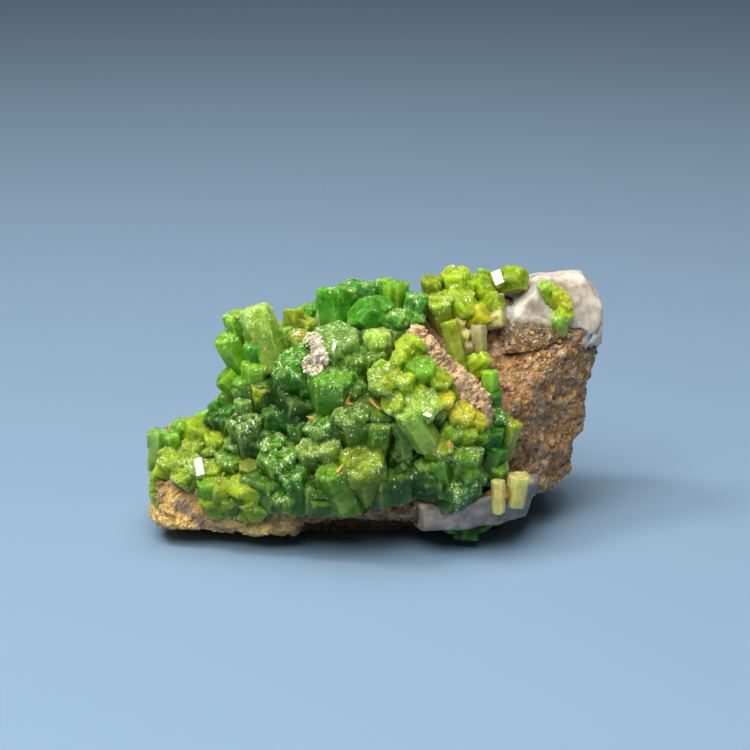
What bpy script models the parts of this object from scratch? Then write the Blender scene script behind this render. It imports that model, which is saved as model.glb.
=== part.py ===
# Pyromorphite specimen: stubby green hexagonal crystals on a lump of iron-stained quartz.
# Metres, +Z up, the viewer stands on the -Y side, the broken underside lies on z = 0.
import math

import bmesh
import bpy
from mathutils import Matrix, Vector

# Driving dimensions
MM = 0.001
SPECIMEN_NAME = "pyromorphite_specimen"
CONTACT_GAP = 0.3 * MM          # clearance between neighbouring pieces
NEIGHBOUR_REACH = 9 * MM        # crystals whose ends are this close may touch
ROCK_GRAIN = 0.9 * MM           # cell size of the rebuilt rock surface
ROCK_KEEP = 0.105               # share of the rock's faces that stay
ROCK_ROUGHNESS = 1.1 * MM       # height of the lumps on the rock
QUARTZ_ROUGHNESS = 0.6 * MM     # and on the milky quartz
ROCK_LUMP = 3.2 * MM            # width of those lumps
BARREL_WIDTH = 3.9 * MM         # crystals this wide bulge like a barrel
BARREL_BULGE = 1.09             # width at the waist of a barrel over its width at the end
BARREL_WAIST = 0.45             # how far down its length the waist is
ROOT_TAPER = 0.94               # width at a crystal's root over its width at the end
CHAMFER_WIDTH = 2.9 * MM        # crystals this wide have a bevelled end
BED_WIDTH = 6.3 * MM            # wider ones are the bed beneath the others and stay plain
CHAMFER_SHARE = 0.13            # bevel as a share of the width
FLAT_ANGLE = math.radians(0.4)  # faces this close to flat are made one
ROCK_CLEARANCE = 0.5 * MM       # height of the rough rock above what it stands on

# The crystals are placed as they are seen from the front: across and up in an upright plane
# facing the viewer, and by their depth behind the middle of the specimen.
VIEW_RISE = math.radians(17.0)
VIEW_DISTANCE = 260 * MM
VIEW_CENTRE = (0.35 * MM, 18.7 * MM)
VIEW_UP = Vector((0, math.sin(VIEW_RISE), math.cos(VIEW_RISE)))
TO_VIEWER = Vector((0, -math.cos(VIEW_RISE), math.sin(VIEW_RISE)))
SIDEWAYS = Vector((1, 0, 0))

# The photo is measured from its own zero. The specimen is then moved by this much, to stand
# on z = 0 with its box centred on the upright axis.
STANCE = Vector((-0.45, -0.25, -1.5)) * MM

# Broken faces of each lump of rock: a point in mm on the face and the way it looks
CORE_FACES = (
    ((0, -9, 5.4), (0, -0.3, -0.95)),
    ((0, -8.6, 9), (0, -0.995, 0.06)),
    ((0, -7.0, 17), (0, -0.78, 0.62)),
    ((-11, -6.4, 11), (-0.62, -0.74, 0.26)),
    ((0, 3, 26.9), (-0.1, 0.1, 0.98)),
    ((0, 9, 23.5), (0, 0.75, 0.66)),
    ((0, 13.8, 12), (0.05, 1, -0.05)),
    ((0, 13.2, 3), (0.1, 0.95, -0.31)),
    ((-14.2, 0, 18), (-0.89, 0.05, 0.45)),
    ((-7, 0, 24.2), (-0.4, 0, 0.92)),
    ((-14, 0, 2), (-0.5, 0, -0.85)),
    ((24, 3, 15), (0.98, 0.1, -0.16)),
    ((15.2, -6.2, 14), (0.62, -0.78, -0.08)),
    ((14.5, -3, 3.8), (0.42, -0.1, -0.9)),
    ((18, 0, 26.9), (0.34, 0.05, 0.94)),
)
PEDESTAL_FACES = (
    ((0, -1.9, 2), (0.1, -0.93, -0.36)),
    ((-12.0, 0, 0), (-0.85, -0.2, -0.5)),
    ((13.5, 0, 0), (0.8, -0.3, -0.5)),
    ((0, 12.6, 0), (0, 0.97, -0.25)),
    ((0, 0, 6), (0, 0, 1)),
    ((0, 0, -2), (0, 0, -1)),
)
RESTING_FACES = (
    ((0, -2.6, 1.5), (0.06, -0.97, -0.25)),
    ((-14.2, 4, 1.5), (-0.93, 0.1, -0.35)),
    ((-9.5, -1.2, 1.5), (-0.6, -0.7, -0.35)),
    ((15.2, 3, 1.5), (0.93, -0.05, -0.35)),
    ((11.5, 10.4, 1.5), (0.6, 0.7, -0.35)),
    ((-2, 11.6, 1.5), (-0.05, 0.96, -0.28)),
    ((0, 0, 5), (0, 0, 1)),
    ((0, 0, 0), (0, 0, -1)),
)
FOOT_FACES = (
    ((-18, -8.1, 6), (-0.12, -0.98, 0.12)),
    ((-24.6, -6, 6), (-0.93, -0.36, 0.05)),
    ((-24.9, 0, 6), (-1, 0.05, 0.05)),
    ((-22, -6, 9.6), (-0.06, -0.3, 0.95)),
    ((-20, -7, 3.5), (-0.05, -0.26, -0.96)),
    ((-24.4, -7, 4.2), (-0.74, -0.2, -0.64)),
    ((-20, 5.5, 6), (-0.35, 0.93, 0.1)),
    ((-8, 0, 6), (1, 0, 0)),
)
WALL_FACES = (
    ((8, -9.8, 17), (0.05, -0.99, 0.1)),
    ((8.4, -7.9, 22.4), (0.66, 0.4, 0.62)),
    ((4, -6.2, 20), (0, 0.97, 0.24)),
    ((4, -8, 25.8), (-0.3, 0, 0.95)),
    ((2.6, -8, 18), (-1, 0, 0.12)),
    ((12.7, -8, 16), (1, 0, -0.05)),
    ((6, -8, 9.6), (0, 0, -1)),
)
CAP_FACES = (
    ((23, 3, 30.9), (-0.13, 0.2, 0.97)),
    ((24.6, 3, 29.4), (0.82, 0, 0.57)),
    ((26, 3, 26), (0.99, 0, -0.12)),
    ((20, -0.6, 27), (0.2, -0.9, 0.38)),
    ((25.5, 0, 26), (0.6, -0.8, 0)),
    ((20, 8.6, 27), (0.1, 0.98, 0.2)),
    ((14.8, 3, 27), (-0.98, 0, 0.2)),
    ((17.6, 0.4, 29), (-0.55, -0.35, 0.76)),
    ((20, 3, 22.6), (0, 0, -1)),
)
BASE_QUARTZ_FACES = (
    ((10, -10.6, 6), (0.1, -0.97, -0.1)),
    ((10, -8, 4.2), (0.1, -0.25, -0.96)),
    ((16.4, -7, 6), (0.8, -0.55, -0.25)),
    ((4.6, -8, 6), (-0.9, -0.3, -0.3)),
    ((10, -8, 8.5), (-0.12, 0, 0.99)),
    ((10, -3.5, 6), (0, 1, 0)),
)

# Each crystal, in mm and degrees: across, rise and depth of the middle of its end; how far it
# leans to the right and towards the viewer; its width and its length; its turn about its axis.
SPRAY = (
    (-13.8, 26.7, -3.6, -14, 5, 3.3, 9, 10),
    (-15.8, 26.0, -2.6, -16, 10, 2.5, 7, 0),
    (-17.1, 23.2, -3.8, -26, 15, 3.2, 8, 20),
    (-13.4, 22.6, -5.2, 5, 25, 3.0, 5, 0),
    (-17.2, 18.8, -4.0, -50, 15, 3.2, 7, 10),
    (-13.5, 20.2, -6.0, -10, 35, 3.2, 6, 30),
    (-12.9, 17.5, -7.0, 10, 40, 2.2, 5, 0),
    (-14.9, 16.1, -6.5, -15, 30, 2.4, 5, 15),
    (-15.0, 18.4, -5.6, -20, 30, 2.6, 5, 40),
    (-18.5, 15.6, -3.5, -40, 10, 1.9, 5, 0),
    (-16.9, 14.9, -5.0, -20, 25, 2.2, 5, 25),
    (-9.1, 26.3, -1.8, 0, 5, 2.6, 7, 0),
    (-7.6, 25.3, -2.0, 15, 15, 2.8, 6, 30),
    (-10.5, 24.2, -3.6, -5, 10, 2.8, 7, 15),
    (-8.2, 23.5, -4.6, 10, 35, 2.8, 6, 0),
)
BARRELS = (
    (-9.4, 21.6, -7.8, -8, 22, 4.7, 5.4, 12),
    (-4.2, 23.9, -7.0, 5, 40, 4.7, 8, 0),
    (-4.9, 19.5, -9.6, -5, 40, 4.7, 9, 25),
    (-2.0, 21.4, -8.6, 15, 45, 3.7, 7, 10),
    (-2.3, 18.1, -9.8, 10, 40, 3.7, 8, 0),
    (-8.8, 15.6, -7.4, 0, 30, 3.5, 6, 20),
    (0.6, 23.9, -6.6, 5, 25, 3.5, 8, 5),
    (0.0, 21.4, -8.0, -5, 30, 3.3, 7, 35),
    (-11.2, 15.3, -6.8, 5, 30, 3.7, 6, 15),
)
RIDGE_BLOCKS = (
    (-4.6, 28.8, -0.8, 0, 0, 4.3, 9, 30),
    (-1.6, 26.4, -4.6, -42, 25, 3.9, 8, 0),
    (-1.0, 29.5, 0.2, 5, 8, 4.1, 8, 15),
    (1.4, 29.8, 0.6, 0, 5, 2.3, 7, 0),
    (-2.7, 28.9, -1.2, 10, 15, 2.7, 7, 25),
    (3.1, 29.7, -0.2, 0, 5, 2.6, 8, 30),
    (2.8, 25.9, -4.6, 5, 35, 3.1, 7, 10),
    (5.2, 28.1, -1.6, 10, 20, 2.9, 8, 20),
    (0.9, 27.4, -2.8, 0, 15, 2.9, 7, 40),
    (4.4, 26.0, -3.0, 10, 12, 2.7, 6, 0),
)
FRONT_CLUSTER = (
    (1.3, 18.7, -12.0, -25, 68, 4.0, 6, 10),
    (3.8, 22.7, -9.8, -25, 38, 2.9, 6, 0),
    (2.8, 20.9, -11.2, -50, 50, 2.1, 5, 20),
    (5.7, 20.1, -11.2, 20, 50, 3.7, 6, 30),
    (3.7, 18.5, -12.8, -10, 45, 2.0, 5, 0),
    (2.2, 15.7, -12.6, -60, 50, 3.1, 6, 15),
    (4.0, 14.9, -13.1, -30, 30, 3.4, 6, 40),
    (6.1, 15.8, -13.2, 20, 55, 4.1, 6, 5),
    (8.3, 16.4, -11.8, 30, 45, 3.0, 6, 20),
    (10.6, 14.7, -11.2, 35, 40, 3.3, 6, 0),
    (8.0, 18.6, -11.0, 30, 48, 3.1, 5, 10),
    (2.5, 13.4, -11.5, -20, 25, 1.9, 4, 0),
    (3.8, 12.3, -11.0, 10, 25, 2.3, 5, 25),
    (4.9, 17.0, -12.6, -45, 60, 2.4, 5, 0),
    (9.6, 12.6, -11.6, 40, 35, 2.8, 5, 15),
)
LOWER_RIGHT = (
    (9.8, 8.6, -10.8, 0, 30, 6.1, 5, 0),
    (7.5, 11.2, -12.3, -15, 50, 3.7, 6, 20),
    (11.0, 10.4, -11.3, 8, 40, 4.3, 6, 10),
    (6.0, 8.9, -12.0, -5, 30, 2.1, 5, 0),
    (6.0, 6.4, -10.6, 0, 20, 2.5, 4, 30),
    (7.9, 4.5, -9.8, 0, 25, 2.8, 3.5, 0),
    (11.1, 4.3, -9.4, 10, 25, 2.8, 3.5, 20),
    (7.5, 9.1, -12.0, -5, 40, 2.7, 5, 15),
    (12.3, 8.0, -9.6, 15, 25, 3.1, 6, 0),
)
LOWER_FRONT = (
    (-2.5, 14.7, -11.8, -5, 45, 4.5, 7, 0),
    (-6.2, 13.5, -10.8, -25, 40, 4.1, 7, 20),
    (-8.8, 13.2, -9.0, -10, 30, 2.5, 5, 0),
    (-5.4, 10.8, -12.0, -20, 45, 2.9, 5, 10),
    (-7.4, 10.5, -11.5, -10, 50, 2.9, 6, 35),
    (0.9, 13.4, -11.8, 10, 35, 3.3, 6, 15),
    (-1.2, 9.2, -13.2, -10, 50, 5.5, 7, 8),
    (-4.7, 8.1, -12.7, -15, 40, 4.3, 7, 30),
    (-11.0, 9.8, -10.4, -10, 40, 4.7, 6, 0),
    (-11.7, 11.4, -9.0, -15, 25, 3.5, 6, 20),
    (-9.3, 7.7, -11.3, -5, 35, 3.7, 6, 12),
    (-10.1, 5.0, -10.8, 0, 30, 4.4, 4, 0),
    (-12.0, 6.0, -10.3, -5, 25, 2.9, 4, 25),
    (-6.0, 5.4, -12.0, 0, 20, 3.1, 4, 30),
    (-6.8, 3.7, -11.0, -10, 10, 2.4, 2.5, 0),
    (-3.1, 5.1, -11.0, 5, 20, 3.9, 4, 15),
    (-2.5, 1.9, -11.0, 168, 0, 2.5, 4, 0),
    (2.2, 8.2, -11.0, 5, 25, 3.5, 5, 10),
    (3.7, 10.5, -10.6, 5, 25, 3.7, 6, 0),
    (-0.8, 5.2, -10.6, 0, 15, 3.1, 4, 30),
    (-14.7, 13.9, -7.5, -5, 35, 4.1, 7, 10),
)
BED = (
    (-11.5, 13.0, -6.6, 0, 40, 8.2, 6, 0),
    (-7.5, 17.5, -7.0, 10, 40, 7.6, 7, 15),
    (-3.0, 15.0, -8.9, -10, 45, 8.2, 6, 30),
    (1.6, 16.2, -9.4, 15, 40, 7.6, 6, 10),
    (-13.6, 18.6, -4.4, -15, 25, 6.8, 8, 20),
    (-7.8, 22.0, -3.4, 0, 25, 7.4, 8, 0),
    (-1.5, 24.0, -4.0, 5, 30, 8.0, 8, 15),
    (3.4, 24.4, -4.0, 10, 20, 6.0, 8, 30),
    (-12.0, 8.0, -8.7, -5, 40, 7.4, 5, 10),
    (-5.5, 7.6, -10.2, 0, 40, 7.8, 5, 25),
    (1.5, 8.6, -10.2, 5, 35, 7.4, 5, 0),
    (6.6, 9.2, -10.4, 0, 40, 6.4, 5, 15),
    (10.6, 8.0, -9.4, 10, 30, 5.6, 5, 0),
    (6.6, 17.0, -10.8, 15, 55, 7.2, 4, 20),
    (-17.8, 9.0, -6.9, 0, 45, 7.4, 5, 30),
    (-22.2, 9.8, -5.6, -5, 45, 5.6, 5, 0),
    (-17.0, 13.0, -3.9, -20, 30, 6.0, 5, 15),
    (-14.6, 5.6, -8.8, 0, 40, 5.4, 4, 0),
)
LEFT_CRUST = (
    (-24.6, 12.3, -4.0, 0, 10, 2.5, 5, 30),
    (-21.6, 13.4, -3.0, -15, 15, 3.1, 5, 0),
    (-19.8, 13.1, -4.5, 15, 28, 3.5, 6, 20),
    (-23.4, 11.9, -4.4, -15, 25, 2.5, 5, 0),
    (-18.1, 10.2, -7.0, 60, 30, 1.4, 4, 0),
    (-23.8, 9.3, -6.8, -30, 42, 2.8, 5, 10),
    (-21.5, 9.4, -7.2, 5, 50, 2.9, 5, 35),
    (-19.9, 8.1, -8.6, 25, 62, 2.8, 5, 0),
    (-22.2, 7.5, -8.3, -30, 50, 2.8, 5, 20),
    (-19.0, 6.7, -9.4, -15, 42, 3.0, 5, 0),
    (-17.3, 6.4, -9.8, 15, 38, 3.2, 5, 15),
    (-19.0, 4.5, -9.6, -30, 45, 2.1, 4, 0),
    (-15.0, 6.4, -10.2, -15, 45, 3.4, 5, 10),
    (-13.4, 6.1, -10.2, 20, 35, 3.0, 5, 40),
    (-12.7, 3.9, -10.2, 10, 40, 2.9, 3, 0),
    (-14.6, 4.3, -10.2, -20, 45, 2.5, 3, 30),
    (-16.4, 4.6, -9.9, 5, 50, 2.4, 3, 0),
    (-14.3, 8.4, -9.2, -5, 42, 2.3, 5, 0),
    (-16.6, 9.5, -8.0, 0, 45, 3.4, 6, 15),
    (-18.5, 8.3, -8.4, -20, 42, 2.6, 5, 0),
    (-16.0, 11.2, -7.4, -25, 40, 2.8, 6, 25),
    (-18.4, 14.4, -4.4, -25, 20, 2.8, 6, 0),
    (-18.0, 12.0, -5.8, 10, 35, 3.3, 6, 10),
    (-20.8, 11.0, -6.0, -15, 40, 2.7, 5, 30),
    (-16.0, 14.0, -5.6, 15, 30, 3.0, 6, 0),
)
FOOT_RIM = (
    (-25.2, 7.8, -6.0, -75, 10, 1.8, 2.2, 0),
    (-25.6, 6.8, -6.0, -95, 10, 1.5, 2.0, 0),
    (-25.7, 5.7, -6.2, -100, 10, 1.5, 2.0, 20),
    (-25.5, 4.6, -6.4, -105, 10, 1.5, 2.0, 0),
    (-25.0, 3.5, -6.6, -115, 10, 1.5, 2.0, 10),
)
BACK_WRAP = (
    (-8.6, 26.0, 3.0, -15, -25, 3.2, 7, 0),
    (-4.6, 27.9, 3.6, 0, -30, 3.4, 7, 20),
    (-0.6, 28.9, 3.8, 10, -30, 3.0, 7, 0),
    (-12.4, 24.4, 1.2, -25, -20, 3.4, 7, 15),
    (2.6, 29.0, 3.4, 10, -25, 2.8, 7, 30),
    (-11.0, 24.0, 4.4, -25, -45, 3.0, 6, 0),
    (-7.0, 26.2, 5.8, 0, -50, 3.0, 6, 25),
    (-15.0, 20.8, 0.8, -45, -15, 3.2, 6, 0),
    (-17.2, 16.6, -0.4, -45, -10, 3.0, 6, 20),
    (-19.6, 14.2, -0.6, -20, -15, 2.8, 5, 0),
    (-22.4, 13.2, -0.8, -20, -15, 2.6, 5, 10),
)
RIDGE = (
    (6.9, 30.4, 1.0, 0, 5, 1.9, 6, 0),
    (9.4, 31.0, 1.3, 0, 8, 3.1, 7, 10),
    (11.3, 30.4, 1.8, 5, 10, 3.0, 7, 0),
    (12.9, 30.9, 2.4, 5, 0, 1.4, 6, 20),
    (17.5, 29.9, 0.4, 80, 28, 2.9, 7, 15),
    (15.0, 27.4, -1.2, 85, 15, 1.8, 6, 0),
    (13.6, 26.2, -1.8, 80, 20, 2.6, 7, 30),
    (15.3, 25.4, -2.0, 75, 20, 2.3, 5, 0),
    (8.0, 27.6, -1.0, 5, 20, 2.8, 6, 0),
    (10.4, 28.7, -0.6, 10, 30, 2.8, 6, 20),
    (13.3, 29.5, 0.8, 40, 25, 2.4, 6, 0),
    (11.3, 27.4, -1.6, 30, 35, 2.7, 6, 10),
)
HOLLOW = (
    (8.9, 24.9, -3.2, -14, 10, 1.9, 6, 0),
    (10.3, 25.1, -2.6, 10, 40, 1.5, 4, 0),
    (10.6, 23.8, -3.2, 5, 40, 1.6, 4, 30),
    (12.3, 24.6, -2.6, 0, 10, 2.0, 5, 0),
    (12.4, 20.6, -4.6, 55, 10, 2.0, 6, 0),
    (13.3, 20.9, -4.6, 30, 20, 1.9, 4, 20),
    (10.9, 22.4, -3.6, 0, 30, 1.6, 5, 0),
)
COLUMN = (
    (13.6, 19.2, -6.6, 0, 10, 2.1, 5, 0),
    (13.9, 17.0, -7.2, 15, 25, 2.7, 6, 20),
    (14.9, 14.2, -8.4, 25, 42, 2.1, 5, 0),
    (13.9, 12.6, -9.0, 10, 35, 3.1, 6, 30),
    (16.2, 13.4, -7.6, 25, 22, 2.5, 5, 0),
    (14.6, 10.5, -9.0, 15, 28, 2.7, 5, 10),
)
BASE_GROUP = (
    (14.8, 8.3, -9.6, 5, 45, 2.3, 5, 0),
    (14.6, 6.6, -10.2, 5, 20, 1.6, 4, 20),
    (15.4, 5.4, -10.0, 60, 30, 1.8, 4, 0),
    (17.0, 7.2, -9.0, 8, 20, 2.7, 4, 10),
    (18.2, 7.0, -8.2, 50, 12, 1.7, 4, 0),
)
CAP_RING = (
    (19.8, 29.2, -0.4, -20, 45, 1.6, 3, 0),
    (20.7, 29.1, -0.3, 0, 40, 1.6, 3, 20),
    (21.5, 28.6, -0.5, 20, 45, 1.7, 3, 0),
    (22.2, 28.0, -0.8, 20, 40, 1.8, 3, 10),
    (22.6, 27.2, -1.1, 30, 45, 1.7, 3, 0),
    (22.6, 26.2, -1.5, 30, 35, 2.2, 3, 30),
    (21.6, 25.8, -1.7, -20, 40, 2.0, 3, 0),
)
UNDERSIDE = (
    (10.9, -0.4, -7.6, 175, 0, 3.1, 5, 0),
    (12.8, 0.6, -7.2, 160, 0, 2.5, 5, 20),
    (9.0, 0.6, -7.4, 195, 0, 2.5, 5, 0),
)
BACK_GROUP = (
    (8.0, 20.6, 14.8, 10, -65, 3.4, 5, 0),
    (5.4, 19.0, 15.2, -10, -70, 3.0, 5, 20),
    (9.8, 17.8, 15.4, 20, -70, 3.2, 5, 0),
    (7.2, 16.4, 15.6, 0, -75, 3.6, 5, 10),
    (11.4, 19.8, 14.8, 30, -60, 2.6, 5, 0),
    (4.8, 16.0, 15.4, -30, -70, 2.6, 5, 30),
)


def clear_scene():
    for item in list(bpy.data.objects):
        bpy.data.objects.remove(item, do_unlink=True)


def finish(name, colour, roughness):
    """Plain Principled material for one node."""
    material = bpy.data.materials.new(name)
    material.use_nodes = True
    shader = material.node_tree.nodes["Principled BSDF"]
    shader.inputs["Base Color"].default_value = (*colour, 1)
    shader.inputs["Roughness"].default_value = roughness
    shader.inputs["Metallic"].default_value = 0
    return material


def new_object(name, bm, collection):
    mesh = bpy.data.meshes.new(name)
    bm.to_mesh(mesh)
    bm.free()
    item = bpy.data.objects.new(name, mesh)
    collection.objects.link(item)
    return item


def bake_modifiers(item):
    """Put the evaluated shape into the object's own mesh and drop its modifiers."""
    bpy.context.view_layer.update()
    evaluated = item.evaluated_get(bpy.context.evaluated_depsgraph_get())
    shaped = bpy.data.meshes.new_from_object(evaluated)
    item.modifiers.clear()
    item.data = shaped


def keep_largest_body(item):
    """Drop loose chips and sealed pockets: only the outer skin of the largest body stays."""
    bm = bmesh.new()
    bm.from_mesh(item.data)
    bodies = []
    unseen = set(bm.faces)
    while unseen:
        stack = [unseen.pop()]
        body = list(stack)
        while stack:
            for edge in stack.pop().edges:
                for face in edge.link_faces:
                    if face in unseen:
                        unseen.discard(face)
                        stack.append(face)
                        body.append(face)
        bodies.append(body)
    bodies.sort(key=lambda faces: sum(face.calc_area() for face in faces))
    loose = [face for body in bodies[:-1] for face in body]
    bmesh.ops.delete(bm, geom=loose, context="FACES")
    bmesh.ops.dissolve_limit(
        bm, angle_limit=FLAT_ANGLE, verts=bm.verts[:], edges=bm.edges[:])
    bm.to_mesh(item.data)
    bm.free()


def triangulate(item):
    bm = bmesh.new()
    bm.from_mesh(item.data)
    bmesh.ops.triangulate(bm, faces=bm.faces[:])
    bm.to_mesh(item.data)
    bm.free()


def boolean(item, others, operation):
    """Join the others to an object, or cut them out of it, and then delete them."""
    tools = bpy.data.collections.new("cutters")
    bpy.context.scene.collection.children.link(tools)
    triangulate(item)
    for other in others:
        triangulate(other)
        tools.objects.link(other)
    change = item.modifiers.new(operation.lower(), "BOOLEAN")
    change.operand_type = "COLLECTION"
    change.collection = tools
    change.operation = operation
    change.solver = "EXACT"
    bake_modifiers(item)
    for other in others:
        bpy.data.objects.remove(other, do_unlink=True)
    bpy.data.collections.remove(tools)
    keep_largest_body(item)


def cut_lump(bm, faces, proud=0.0, size=40 * MM):
    """A block cut down by the planes of its broken faces, moved out by proud, added to bm."""
    lump = bmesh.new()
    centre = sum((Vector(point) for point, _ in faces), Vector()) / len(faces)
    bmesh.ops.create_cube(lump, size=2 * size, matrix=Matrix.Translation(centre * MM))
    for point, way in faces:
        everything = lump.verts[:] + lump.edges[:] + lump.faces[:]
        place = Vector(point) * MM + Vector(way).normalized() * proud
        cut = bmesh.ops.bisect_plane(
            lump, geom=everything, plane_co=place, plane_no=way, clear_outer=True)
        rim = [part for part in cut["geom_cut"] if isinstance(part, bmesh.types.BMEdge)]
        bmesh.ops.contextual_create(lump, geom=rim)
    bmesh.ops.recalc_face_normals(lump, faces=lump.faces)
    lump.transform(Matrix.Translation(STANCE))
    scrap = bpy.data.meshes.new("lump")
    lump.to_mesh(scrap)
    lump.free()
    bm.from_mesh(scrap)
    bpy.data.meshes.remove(scrap)


def weather(item, grain, keep, roughness, lump_width):
    """Rebuild a lump as one skin, raise lumps and pits on it, and thin its faces."""
    rebuild = item.modifiers.new("skin", "REMESH")
    rebuild.mode = "VOXEL"
    rebuild.voxel_size = grain
    texture = bpy.data.textures.new(item.name + "_lumps", "CLOUDS")
    texture.noise_scale = lump_width
    texture.noise_depth = 1
    raise_lumps = item.modifiers.new("lumps", "DISPLACE")
    raise_lumps.texture = texture
    raise_lumps.texture_coords = "GLOBAL"
    raise_lumps.strength = roughness
    raise_lumps.mid_level = 0.5
    thin = item.modifiers.new("thin", "DECIMATE")
    thin.ratio = keep
    thin.use_collapse_triangulate = True
    bake_modifiers(item)
    keep_largest_body(item)


def cut_level(item, height):
    """Cut a lump off flat at this height and drop what lies below."""
    bm = bmesh.new()
    bm.from_mesh(item.data)
    everything = bm.verts[:] + bm.edges[:] + bm.faces[:]
    cut = bmesh.ops.bisect_plane(
        bm, geom=everything, plane_co=(0, 0, height), plane_no=(0, 0, -1), clear_outer=True)
    rim = [part for part in cut["geom_cut"] if isinstance(part, bmesh.types.BMEdge)]
    bmesh.ops.holes_fill(bm, edges=rim)
    bm.to_mesh(item.data)
    bm.free()


def matrix_rock(collection):
    bm = bmesh.new()
    for faces in (CORE_FACES, PEDESTAL_FACES, FOOT_FACES, WALL_FACES):
        cut_lump(bm, faces)
    rock = new_object("matrix", bm, collection)
    weather(rock, ROCK_GRAIN, ROCK_KEEP, ROCK_ROUGHNESS, ROCK_LUMP)
    cut_level(rock, ROCK_CLEARANCE)
    bm = bmesh.new()
    cut_lump(bm, RESTING_FACES)
    boolean(rock, [new_object("resting_block", bm, collection)], "UNION")
    cut_level(rock, 0)
    return rock


def quartz_lump(name, faces, collection):
    bm = bmesh.new()
    cut_lump(bm, faces)
    lump = new_object(name, bm, collection)
    weather(lump, ROCK_GRAIN, ROCK_KEEP, QUARTZ_ROUGHNESS, ROCK_LUMP)
    return lump


def grown_copy(item, collection):
    """The same skin moved outwards by the contact gap, to cut what lies against it."""
    bm = bmesh.new()
    bm.from_mesh(item.data)
    bm.normal_update()
    for vertex in bm.verts:
        vertex.co += vertex.normal * CONTACT_GAP
    return new_object(item.name + "_clearance", bm, collection)


def seen_point(across, rise, depth):
    """The point, depth behind the middle, that shows at this place to the viewer."""
    middle = SIDEWAYS * VIEW_CENTRE[0] + VIEW_UP * VIEW_CENTRE[1]
    eye = middle + TO_VIEWER * VIEW_DISTANCE
    shown = SIDEWAYS * across + VIEW_UP * rise
    return STANCE + eye + (shown - eye) * ((depth - eye.y) / (shown.y - eye.y))


def crystal_place(row):
    """Matrix that puts a crystal's end at its place, with local +Z along its axis."""
    across, rise, depth, lean, toward = row[:5]
    lean = math.radians(lean)
    toward = math.radians(toward)
    upright = SIDEWAYS * math.sin(lean) + VIEW_UP * math.cos(lean)
    axis = upright * math.cos(toward) + TO_VIEWER * math.sin(toward)
    turn = axis.to_track_quat("Z", "Y").to_matrix().to_4x4()
    tip = seen_point(across * MM, rise * MM, depth * MM)
    return Matrix.Translation(tip) @ turn @ Matrix.Rotation(math.radians(row[7]), 4, "Z")


def crystal(name, row, collection, grow=0.0):
    """One hexagonal prism with a bevelled end, and a bulge if it is a wide one."""
    width = row[5] * MM
    length = row[6] * MM
    prism = bmesh.new()
    bmesh.ops.create_cone(
        prism, cap_ends=True, segments=6, radius1=ROOT_TAPER * width / 2, radius2=width / 2,
        depth=length, matrix=Matrix.Translation((0, 0, -length / 2)))
    if BARREL_WIDTH <= width <= BED_WIDTH:
        waist = -BARREL_WAIST * length
        everything = prism.verts[:] + prism.edges[:] + prism.faces[:]
        ring = bmesh.ops.bisect_plane(
            prism, geom=everything, plane_co=(0, 0, waist), plane_no=(0, 0, 1))["geom_cut"]
        for part in ring:
            if isinstance(part, bmesh.types.BMVert):
                part.co.x *= BARREL_BULGE
                part.co.y *= BARREL_BULGE
    if CHAMFER_WIDTH <= width <= BED_WIDTH:
        rim = [edge for edge in prism.edges if all(v.co.z > -1e-6 for v in edge.verts)]
        bmesh.ops.bevel(
            prism, geom=rim, offset=CHAMFER_SHARE * width, segments=1, affect="EDGES")
    if grow:
        prism.normal_update()
        stretch = 1 + 2 * grow / (width * math.cos(math.pi / 6))
        for vertex in prism.verts:
            vertex.co.x *= stretch
            vertex.co.y *= stretch
            vertex.co.z += grow if vertex.co.z > -length / 2 else -grow
    prism.transform(crystal_place(row))
    bmesh.ops.recalc_face_normals(prism, faces=prism.faces)
    return new_object(name, prism, collection)


def crystal_cluster(name, rows, collection):
    """Crystals that grew together, joined in one solid."""
    cluster = crystal(name, rows[0], collection)
    others = [crystal(name + "_neighbour", row, collection) for row in rows[1:]]
    boolean(cluster, others, "UNION")
    return cluster


def near(row, rows):
    """Whether a crystal's end lies within reach of any crystal of a cluster."""
    tip = seen_point(*(value * MM for value in row[:3]))
    ends = [seen_point(*(value * MM for value in other[:3])) for other in rows]
    return any((end - tip).length < NEIGHBOUR_REACH for end in ends)


def clear_of(cluster, rows, rock, earlier, collection):
    """Cut a cluster free of the lumps and of the crystals that stood there first."""
    cutters = [grown_copy(rock, collection)]
    for faces in (CAP_FACES, BASE_QUARTZ_FACES):
        bm = bmesh.new()
        cut_lump(bm, faces, proud=CONTACT_GAP + QUARTZ_ROUGHNESS / 2)
        cutters.append(new_object("quartz_clearance", bm, collection))
    cutters += [crystal("clearance", row, collection, CONTACT_GAP)
                for row in earlier if near(row, rows)]
    boolean(cluster, cutters, "DIFFERENCE")


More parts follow.
